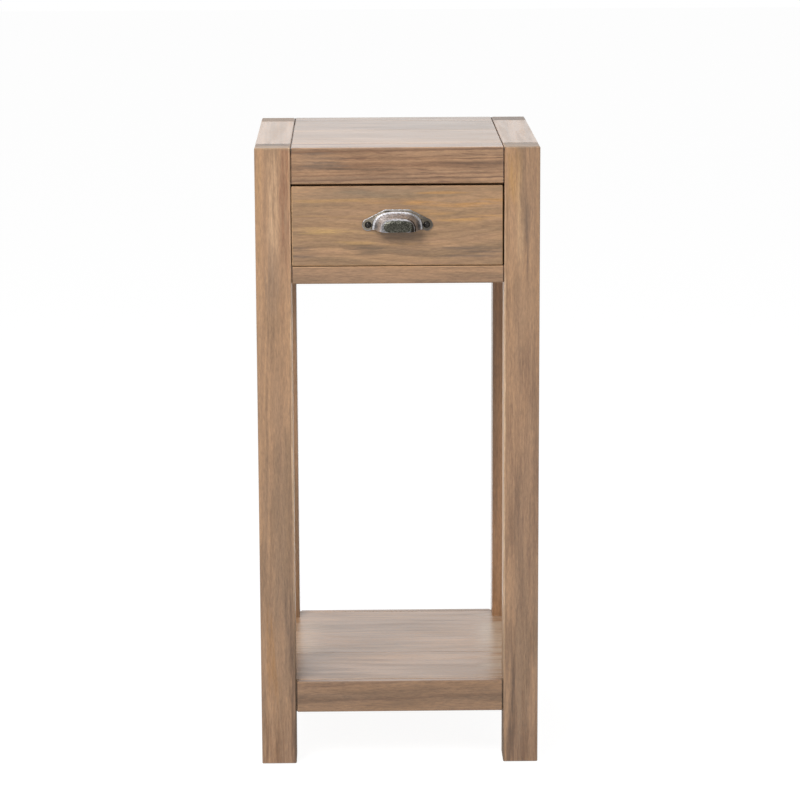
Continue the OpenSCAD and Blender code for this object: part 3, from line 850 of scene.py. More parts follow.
@dataclass(frozen=True)
class CastPewter:
    """Pewter, sand cast, hammered on its face, blackened and rubbed back. Sizes in millimetres.

    The rubbed parts are a soft silver, the hammered face keeps its grey-green film, and grime
    stays in the corners. The flange's top band is lightened as a painted highlight, and the
    right ear, the cup's right side, the rim round its face and the crease above it are darkened
    as painted shade. Places count from the pull's origin on the drawer front: x to the right, y
    to the back and z up. Two numbers of a field are where a look starts and where it is full,
    and a third is its share there. The sand's grain is too fine to show, so it's drawn coarser.
    """

    name: str = "sand_cast_aged_pewter"
    silver: str = "#e2e2e7"
    dull: str = "#9b989a"
    film: str = "#3b3a33"
    fleck: str = "#74736a"
    plate: str = "#8d8476"
    # Grime for the corners, and painted shade for the right ear and the cup's right side
    dirt_and_shade: str = "#2c2823"
    face_half: tuple[float, float] = (15.4, 6.7)
    face_mid: float = 0.4
    face_power: float = 3.0
    face_fray: float = 0.5
    face_edge: tuple[float, float] = (1.35, 1.1)
    plate_edge: tuple[float, float] = (-3.2, -2.5)
    # Painted highlight: the flange's top band turns silver between these heights
    crown_highlight_edge: tuple[float, float] = (15.1, 16.6)
    crown_highlight_share: float = 0.7
    shaded_ear: tuple[float, float, float] = (19.0, 32.0, 0.62)
    # Painted shade: the cup's right side, the rim round its face and the crease above it darken
    painted_shade_side: tuple[float, float, float] = (9.5, 17.5, 0.5)
    painted_shade_front: tuple[float, float, float] = (-19.4, -21.2, 0.6)
    painted_shade_right: tuple[float, float, float] = (0.0, 8.0, 0.6)
    crease: tuple[float, float] = (17.0, 19.8)
    ridge_at: tuple[float, float] = (0.42, 0.58)
    ridge_gain: float = 0.55
    hammer_gain: float = 0.9
    grit_gain: float = 0.5
    rubbed_at: tuple[float, float] = (0.34, 0.94)
    fleck_at: tuple[float, float] = (0.42, 0.66)
    roughness: tuple[float, float] = (0.55, 0.3)
    hammer_mm: float = 2.6
    grit_mm: float = 1.1
    relief: float = 0.25

    def material(self, origin: Vector) -> bpy.types.Material:
        """Makes the material.

        Args:
            origin: the pull's origin on the drawer front, in metres.

        Returns:
            The material, which tells face and plate apart by their distance from the drawer.
        """
        material, net = new_material(self.name)
        local = net.laid(-origin / MM, (1 / MM,) * 3)
        hammer = net.noise(local, 1 / self.hammer_mm, 2.0)
        grit = net.noise(local, 1 / self.grit_mm, 3.0, 0.6)
        rubbed = self.rubbed(net, grit, hammer)
        rough = net.span(rubbed, 0.0, 1.0, *self.roughness, Ease.LINEAR)
        dents = net.maths("MULTIPLY_ADD", grit, self.grit_gain, hammer)
        net.principled({
            "Base Color": self.colour(net, rubbed, net.split(local), grit, hammer),
            "Metallic": 1.0, "Roughness": rough, "Normal": net.bump(dents, 0.5, self.relief),
        })
        return material

    def rubbed(self, net: Net, grit: Socket, hammer: Socket) -> Socket:
        """Finds where the film is rubbed off.

        Args:
            net: the material's net.
            grit: the fine noise.
            hammer: the noise of the dents.

        Returns:
            From 0 in a corner to 1 on a ridge.
        """
        ridge = net.span(net.ridges(), *self.ridge_at, -self.ridge_gain, self.ridge_gain,
                         Ease.LINEAR)
        mottled = net.maths("MULTIPLY_ADD", grit, self.grit_gain, ridge)
        high = net.maths("MULTIPLY_ADD", hammer, self.hammer_gain, mottled)
        return net.span(high, *self.rubbed_at)

    def face(self, net: Net, x: Socket, z: Socket, hammer: Socket) -> Socket:
        """Masks the hammered face, a rounded field in the middle of the cup's front.

        Args:
            net: the material's net.
            x: the place from left to right.
            z: the height.
            hammer: the noise that frays the mask's edge.

        Returns:
            1 on the face and 0 outside.
        """
        spread = []
        for axis, half, middle in zip((x, z), self.face_half, (0.0, self.face_mid)):
            away = net.maths("MULTIPLY_ADD", axis, 1 / half, -middle / half)
            spread.append(net.maths("POWER", net.maths("ABSOLUTE", away), self.face_power))
        frayed = net.maths("MULTIPLY_ADD", hammer, self.face_fray, net.maths("ADD", *spread))
        return net.span(frayed, *self.face_edge)

    def painted_shade(self, net: Net, x: Socket, y: Socket) -> Socket:
        """Finds the painted shade on the cup's right side, round its face and in the crease
        above.

        Args:
            net: the material's net.
            x: the place from left to right.
            y: the place from front to back.

        Returns:
            How much of the metal's brightness the painted shade takes.
        """
        spans = ((x, self.painted_shade_side), (y, self.painted_shade_front), (x, self.painted_shade_right))
        side, front, right = (net.span(axis, start, full, high=share)
                              for axis, (start, full, share) in spans)
        near, far = self.crease
        away = net.maths("ABSOLUTE", net.maths("ADD", y, (near + far) / 2))
        band = net.span(away, (far - near) / 2, (far - near) / 4)
        sides = net.maths("ADD", side, front)
        return net.maths("MULTIPLY_ADD", right, band, sides, clamp=True)

    def colour(self, net: Net, rubbed: Socket, axes: Sequence[Socket], grit: Socket,
               hammer: Socket) -> Socket:
        """Mixes silver, film and grime, with painted shade and a painted highlight.

        Args:
            net: the material's net.
            rubbed: where the film is rubbed off.
            axes: x, y and z from the pull's origin.
            grit: the fine noise.
            hammer: the noise of the dents.

        Returns:
            The colour.
        """
        x, y, z = axes
        cup = net.ramp(rubbed, (0.0, self.dirt_and_shade), (0.22, self.dull), (0.75, self.silver))
        # Painted shade darkens the cup's right side, the rim round its face and the crease above
        # it
        shaded_cup = net.mix(self.painted_shade(net, x, y), cup, self.dirt_and_shade)
        flat = net.ramp(rubbed, (0.0, self.dirt_and_shade), (0.3, self.plate), (0.8, self.plate),
                        (1.0, self.dull))
        # Painted highlight on the flange's top band
        crown_highlight = net.span(z, *self.crown_highlight_edge, high=self.crown_highlight_share)
        # Painted shade: the right ear darkens towards its outer end
        start, full, share = self.shaded_ear
        ear = net.span(x, start, full, high=share)
        flange = net.mix(ear, net.mix(crown_highlight, flat, self.silver), self.dirt_and_shade)
        body = net.mix(net.span(y, *self.plate_edge), shaded_cup, flange)
        stained = net.mix(net.span(grit, *self.fleck_at), self.film, self.fleck)
        return net.mix(self.face(net, x, z, hammer), body, stained)


# ---------------------------------------------------------------- mesh helpers

# Corners closer than this are one corner, and an edge is rounded where it turns further
WELD_MM = 0.002
EDGE_DEGREES = 30


def soften(node: str, radius: float, segments: int = 2) -> None:
    """Rounds the edges of a CAD node with modifiers.

    Args:
        node: the node's name.
        radius: how far the rounding reaches from the edge, in millimetres.
        segments: the number of steps in the round.
    """
    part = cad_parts[node]
    weld = part.modifiers.new("weld", "WELD")
    weld.merge_threshold = WELD_MM * MM
    bevel = part.modifiers.new("rounded_edges", "BEVEL")
    bevel.width = radius * MM
    bevel.segments = segments
    bevel.limit_method = "ANGLE"
    bevel.angle_limit = math.radians(EDGE_DEGREES)
    bevel.use_clamp_overlap = True
    bevel.harden_normals = False


def finished_mesh(piece: bpy.types.Object) -> bpy.types.Object:
    """Applies a piece's modifiers to its mesh.

    Args:
        piece: the object, which keeps its name and place.

    Returns:
        The same object without modifiers.
    """
    graph = bpy.context.evaluated_depsgraph_get()
    mesh = bpy.data.meshes.new_from_object(piece.evaluated_get(graph))
    old = piece.data
    piece.modifiers.clear()
    piece.data = mesh
    mesh.name = piece.name
    bpy.data.meshes.remove(old)
    return piece


def new_object(name: str, data: bpy.types.ID) -> bpy.types.Object:
    """Makes a scene object.

    Args:
        name: the object's name.
        data: its mesh, light or camera.

    Returns:
        The linked object.
    """
    made = bpy.data.objects.new(name, data)
    bpy.context.scene.collection.objects.link(made)
    return made


def new_piece(name: str, shape: bmesh.types.BMesh) -> bpy.types.Object:
    """Makes a scene object from a bmesh and frees the bmesh.

    Args:
        name: the object's name.
        shape: the mesh, in the frame's metres.

    Returns:
        The linked object.
    """
    mesh = bpy.data.meshes.new(name)
    shape.to_mesh(mesh)
    shape.free()
    return new_object(name, mesh)


# ---------------------------------------------------------------- sub-assemblies


@dataclass
class Woodwork:
    """A group of boards with one finish."""

    name: str
    finish: WoodFinish
    boards: Sequence[Board]
    rounding: float = 0.35

    def build(self, softwood: Softwood) -> None:
        """Rounds and dresses every board.

        Args:
            softwood: the group that holds the wood's structure.
        """
        for board in self.boards:
            self.finish.dress(board, softwood)
            soften(board.node, self.rounding)
            LOG.info("%s: %s in %s", self.name, board.node, self.finish.name)


@dataclass(frozen=True)
class CupStation:
    """One section of the cup, at a distance from the drawer front, in millimetres.

    power is 2 for a round arch and more for a squarer one.
    """

    out: float
    half_width: float
    top: float
    power: float = 2.7

    def point(self, angle: float, foot: float, wall: float = 0.0) -> tuple[float, float]:
        """Gives a point of the section's arch.

        Args:
            angle: the point's angle, from the right foot over the top to the left foot.
            foot: the height of the feet.
            wall: how far the arch lies inside the section's.

        Returns:
            x and z in millimetres.
        """
        across, up = math.cos(angle), math.sin(angle)
        half, high = self.half_width - wall, self.top - wall - foot
        x = half * math.copysign(abs(across) ** (2 / self.power), across)
        return x, foot + high * abs(up) ** (2 / self.power)


@dataclass
class CupPull:
    """Cast cup pull: a flange with two ears, and a hollow cup that opens downwards.

    Sizes are in millimetres. Heights count from the line through the screws. dent_mm are the
    widths of the large and the small dents. They are face_dent deep on the cup's face, which
    starts at face_out from the drawer front, and side_dent deep elsewhere.
    """

    origin: Vector
    centres: float = 64.0
    ear: float = 6.7
    ear_steps: int = 20
    flange_t: float = 2.0
    flange_top: float = 13.5
    flange_high: float = 16.7
    foot: float = -5.2
    foot_drop: float = 0.7
    wall: float = 1.9
    steps: int = 56
    voxel: float = 0.42
    relax: float = 0.5
    relax_steps: int = 3
    dent_mm: tuple[float, float] = (2.3, 1.0)
    small_dent: float = 0.5
    face_out: float = 20.0
    face_dent: float = 0.16
    side_dent: float = 0.09
    stations: Sequence[CupStation] = field(default_factory=lambda: (
        CupStation(0.6, 27.8, 14.4), CupStation(2.4, 28.0, 14.8),
        CupStation(3.8, 27.6, 14.6), CupStation(4.8, 26.2, 13.5),
        CupStation(5.6, 25.0, 12.5), CupStation(8.6, 23.9, 11.8),
        CupStation(12.6, 22.5, 11.0), CupStation(16.4, 20.8, 10.0),
        CupStation(19.4, 19.0, 8.8, 3.0), CupStation(21.4, 17.2, 7.5, 3.2),
        CupStation(22.6, 15.2, 5.6, 3.2), CupStation(23.1, 12.0, 2.8, 3.0),
        CupStation(23.3, 7.6, -0.6, 2.8), CupStation(23.4, 3.0, -3.9, 2.4),
    ))

    def place(self, x: float, out: float, z: float) -> Vector:
        """Turns a point of the pull into a point of the frame.

        Args:
            x: millimetres to the right of the middle.
            out: millimetres in front of the drawer front.
            z: millimetres above the screws.

        Returns:
            The point in metres.
        """
        return self.origin + Vector((x, -out, z)) * MM

    def section(self, station: CupStation) -> list[Vector]:
        """Lays out one section of the cup.

        Args:
            station: the section.

        Returns:
            Its points, from the left foot over the top to the right foot.
        """
        foot = self.foot - self.foot_drop * station.out / self.stations[-1].out
        arch = [station.point(math.pi * (1 - i / self.steps), foot)
                for i in range(self.steps + 1)]
        return [self.place(x, station.out, z) for x, z in arch]

    def cup(self) -> bpy.types.Object:
        """Lofts the cup through its stations and gives it its wall.

        Returns:
            The cup.
        """
        shape = bmesh.new()
        rows = [[shape.verts.new(p) for p in self.section(s)] for s in self.stations]
        for row, following in zip(rows, rows[1:]):
            for i in range(self.steps):
                shape.faces.new((row[i], row[i + 1], following[i + 1], following[i]))
        shape.faces.new(rows[-1])
        bmesh.ops.recalc_face_normals(shape, faces=shape.faces)
        cup = new_piece("cup_shell", shape)
        smooth = cup.modifiers.new("smooth", "SUBSURF")
        smooth.levels = smooth.render_levels = 1
        wall = cup.modifiers.new("wall", "SOLIDIFY")
        wall.thickness = self.wall * MM
        wall.offset = -1.0
        wall.use_even_offset = True
        return finished_mesh(cup)

    def outline(self) -> list[tuple[float, float]]:
        """Draws the flange's outline: ears, slopes, top and the arch that the cup leaves open.

        Returns:
            Its points as x and z in millimetres.
        """
        ear_x = self.centres / 2
        corner = (self.flange_top, self.flange_high)
        away = math.hypot(corner[0] - ear_x, corner[1])
        slope = math.atan2(corner[1], corner[0] - ear_x) - math.acos(self.ear / away)
        right = [(ear_x, -self.ear)]
        for i in range(1, self.ear_steps + 1):
            angle = -math.pi / 2 + (slope + math.pi / 2) * i / self.ear_steps
            right.append((ear_x + self.ear * math.cos(angle), self.ear * math.sin(angle)))
        right.append(corner)
        arch = [self.stations[0].point(math.pi * i / self.steps, self.foot, self.wall)
                for i in range(self.steps + 1)]
        left = [(-x, z) for x, z in reversed(right)]
        return right + left + list(reversed(arch))

    def flange(self) -> bpy.types.Object:
        """Makes the flange plate.

        Returns:
            The plate.
        """
        shape = bmesh.new()
        corners = [shape.verts.new(self.place(x, 0.0, z)) for x, z in self.outline()]
        plate = shape.faces.new(corners)
        bmesh.ops.recalc_face_normals(shape, faces=[plate])
        lifted = bmesh.ops.extrude_face_region(shape, geom=[plate])
        moved = [v for v in lifted["geom"] if isinstance(v, bmesh.types.BMVert)]
        bmesh.ops.translate(shape, verts=moved, vec=(0.0, -self.flange_t * MM, 0.0))
        bmesh.ops.recalc_face_normals(shape, faces=shape.faces)
        bmesh.ops.triangulate(shape, faces=[f for f in shape.faces if len(f.verts) > 4])
        return new_piece("flange_plate", shape)

    def build(self) -> bpy.types.Object:
        """Joins flange and cup into one casting, hammers it and finishes it.

        Returns:
            The pull, riding on the drawer.
        """
        flange, cup = self.flange(), self.cup()
        shape = bmesh.new()
        for part in (flange, cup):
            shape.from_mesh(part.data)
        pull = new_piece("cast_cup_pull", shape)
        for part in (flange, cup):
            bpy.data.objects.remove(part)
        remesh = pull.modifiers.new("casting", "REMESH")
        remesh.mode = "VOXEL"
        remesh.voxel_size = self.voxel * MM
        relax = pull.modifiers.new("relax", "SMOOTH")
        relax.factor = self.relax
        relax.iterations = self.relax_steps
        finished_mesh(pull)
        self.hammer(pull)
        for polygon in pull.data.polygons:
            polygon.use_smooth = True
        pull.data.materials.append(CastPewter().material(self.origin))
        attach(pull, "drawer")
        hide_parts("cup_pull")
        LOG.info("cup pull: %d faces", len(pull.data.polygons))
        return pull

    def hammer(self, pull: bpy.types.Object) -> None:
        """Presses shallow irregular dents into the casting, deepest on the cup's face.

        Args:
            pull: the casting.
        """
        large, small = self.dent_mm
        face_y = self.place(0.0, self.face_out, 0.0).y
        points = [(v.co.copy(), v.normal.copy()) for v in pull.data.vertices]
        for vertex, (point, normal) in zip(pull.data.vertices, points):
            fine = self.small_dent * noise.noise(point / (small * MM))
            dent = noise.noise(point / (large * MM)) + fine
            depth = self.face_dent if point.y < face_y else self.side_dent
            vertex.co = point + normal * (dent * depth * MM)


def pull_origin() -> Vector:
    """Finds the point of the drawer front that lies midway between the pull's screws."""
    low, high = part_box("pull_screws")
    return Vector(((low.x + high.x) / 2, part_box("drawer_front")[0].y, (low.z + high.z) / 2))


@dataclass
class GrooveShadeWax:
    """Hard wax that closes the ends of the two grooves across the top and keeps them dark, as
    painted shade in place of the white seen through them. Sizes in millimetres.

    Depths count from the top surface, and each strip starts at an outer face of the carcass.
    lip is how thick a strip still is at its inner end, fall shapes the slope down to it, sag is
    how far the scraper hollows it, and ripple is the height of its waves of wave_mm.
    """

    width: float = 1.5
    side_gap: float = 0.05
    end_gap: float = 0.5
    floor: float = 3.9
    front_depth: float = 1.4
    back_depth: float = 0.6
    front_length: float = 16.0
    back_length: float = 34.0
    lip: float = 0.3
    fall: int = 4
    sag: float = 0.25
    ripple: float = 0.12
    wave_mm: float = 1.7
    steps: int = 40

    def strip(self, shape: bmesh.types.BMesh, x: float, y: float, length: float,
              depth: float) -> None:
        """Lofts one strip with a sunken, scraped top that falls away to its inner end.

        Args:
            shape: the mesh that gets the strip.
            x: the strip's left side, in millimetres in the frame.
            y: the strip's outer end, in millimetres in the frame.
            length: the strip's length, negative where it runs to the front.
            depth: how far the wax stays below the top surface.
        """
        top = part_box("top_rail_front")[1].z / MM
        low = top - self.floor
        rows = []
        for i in range(self.steps + 1):
            share = i / self.steps
            along = y + length * share
            fall = (self.floor - self.lip - depth) * share ** self.fall
            wave = self.ripple * noise.noise(Vector((x, along, 0.0)) / self.wave_mm)
            high = top - depth - fall + wave
            section = ((0.0, low), (self.width, low), (self.width, high),
                       (self.width / 2, high - self.sag), (0.0, high))
            rows.append([shape.verts.new(Vector((x + across, along, z)) * MM)
                         for across, z in section])
        for row, following in zip(rows, rows[1:]):
            for i, vertex in enumerate(row):
                after = (i + 1) % len(row)
                shape.faces.new((vertex, row[after], following[after], following[i]))
        shape.faces.new(rows[0])
        shape.faces.new(rows[-1])

    def build(self) -> bpy.types.Object:
        """Lays a strip in each end of both grooves.

        Returns:
            The wax, riding on the table.
        """
        front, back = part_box("top_rail_front")[0].y / MM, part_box("top_rail_back")[1].y / MM
        left, right = (corner.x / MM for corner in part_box("top_rail_front"))
        shape = bmesh.new()
        for x in (left + self.side_gap, right - self.side_gap - self.width):
            self.strip(shape, x, front + self.end_gap, self.front_length, self.front_depth)
            self.strip(shape, x, back - self.end_gap, -self.back_length, self.back_depth)
        bmesh.ops.recalc_face_normals(shape, faces=shape.faces)
        # The dark wax is painted shade in the ends of the grooves
        wax = new_piece("groove_shade_wax", shape)
        wax.data.materials.append(ShadeWax().material())
        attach(wax, "table")
        LOG.info("groove wax: %d faces", len(wax.data.polygons))
        return wax


# ---------------------------------------------------------------- studio


@dataclass(frozen=True)
class SoftBox:
    """A square studio light. Places are in metres."""

    name: str
    place: tuple[float, float, float]
    aim: tuple[float, float, float]
    size: float
    watts: float

    def build(self) -> None:
        """Hangs the light and points it at its aim."""
        data = bpy.data.lights.new(self.name, "AREA")
        data.shape = "SQUARE"
        data.size = self.size
        data.energy = self.watts
        light = new_object(self.name, data)
        light.location = self.place
        way = Vector(self.aim) - Vector(self.place)
        light.rotation_euler = way.to_track_quat("-Z", "Y").to_euler()
        light.visible_camera = False


@dataclass
class Studio:
    """White sweep, soft light from above and the left, and the camera.

    surround is how bright the world is on the object, and room how bright its dark side is in
    a reflection. sweep_at are the directions along Y between which that side turns white.
    """

    surround: float = 0.26
    room: float = 0.3
    sweep_at: tuple[float, float] = (-0.75, -0.15)
    floor_half: float = 12.0
    floor_height: float = -0.0005
    floor_glow: float = 0.93
    floor_paint: float = 0.55
    floor_shade: float = 0.2
    boxes: Sequence[SoftBox] = (
        SoftBox("key_box", (-0.95, -1.7, 1.95), (0.0, -0.1, 0.5), 1.1, 37.0),
        SoftBox("fill_box", (1.7, -2.2, 1.6), (0.0, -0.1, 0.4), 1.5, 13.0),
        SoftBox("top_box", (0.0, 0.3, 2.6), (0.0, 0.0, 0.6), 1.6, 10.0),
    )
    camera_place: tuple[float, float, float] = (-0.0490, -3.4209, 1.0789)
    camera_yaw: float = 0.887
    camera_pitch: float = 11.377
    camera_roll: float = -0.243
    lens_mm: float = 135.9
    sensor_mm: float = 36.0

    def build(self) -> None:
        """Sets up world, floor, lights and camera."""
        self.world()
        self.floor()
        for box in self.boxes:
            box.build()
        self.camera()
        view = bpy.context.scene.view_settings
        view.view_transform = "Standard"
        LOG.info("studio: %d lights", len(self.boxes))

    def world(self) -> None:
        """Lights the object softly from all round, and shows white to camera and gloss."""
        world = bpy.data.worlds.new("white_studio")
        bpy.context.scene.world = world
        world.use_nodes = True
        net = Net(world.node_tree)
        path = net.outputs("ShaderNodeLightPath")
        seen = net.maths("MAXIMUM", path["Is Camera Ray"], path["Is Transmission Ray"])
        way = net.split(net.add("ShaderNodeTexCoord").outputs["Generated"])[1]
        # The dark room lies where the drawer looks, and the sweep is behind and above
        sweep = net.span(way, *self.sweep_at, self.room, 1.0)
        ambient = net.mix(path["Is Glossy Ray"], self.surround, sweep, Mixed.NUMBERS)
        back = net.add("ShaderNodeBackground", None, {
            "Color": WHITE, "Strength": net.mix(seen, ambient, 1.0, Mixed.NUMBERS)})
        net.add("ShaderNodeOutputWorld", None, {"Surface": back.outputs[0]})

    def floor(self) -> None:
        """Lays the pale floor, which keeps a faint shadow."""
        shape = bmesh.new()
        bmesh.ops.create_grid(shape, x_segments=1, y_segments=1, size=self.floor_half)
        floor = new_piece("floor", shape)
        floor.location.z = self.floor_height
        # Board, rolled with matt white paint: no shine, and lit so that it blends into the sweep
        material, net = new_material("matt_white_sweep")
        path = net.outputs("ShaderNodeLightPath")
        seen = net.maths("MAXIMUM", path["Is Camera Ray"], path["Is Glossy Ray"])
        paint_tone = net.mix(seen, grey(self.floor_paint), grey(self.floor_shade))
        coat = net.add("ShaderNodeBsdfDiffuse", None, {"Color": paint_tone})
        glow = net.add("ShaderNodeEmission", None, {
            "Color": WHITE, "Strength": net.maths("MULTIPLY", seen, self.floor_glow)})
        net.surface(net.add("ShaderNodeAddShader", None,
                            {0: coat.outputs[0], 1: glow.outputs[0]}))
        floor.data.materials.append(material)

    def camera(self) -> None:
        """Stands the camera in front of the table, a little above it."""
        data = bpy.data.cameras.new("camera")
        data.lens = self.lens_mm
        data.sensor_width = self.sensor_mm
        camera = new_object("camera", data)
        turn = (
            Matrix.Rotation(-math.radians(self.camera_yaw), 4, "Z")
            @ Matrix.Rotation(math.radians(90 - self.camera_pitch), 4, "X")
            @ Matrix.Rotation(math.radians(self.camera_roll), 4, "Z")
        )
        camera.matrix_world = Matrix.Translation(self.camera_place) @ turn
        bpy.context.scene.camera = camera


# ---------------------------------------------------------------- the table

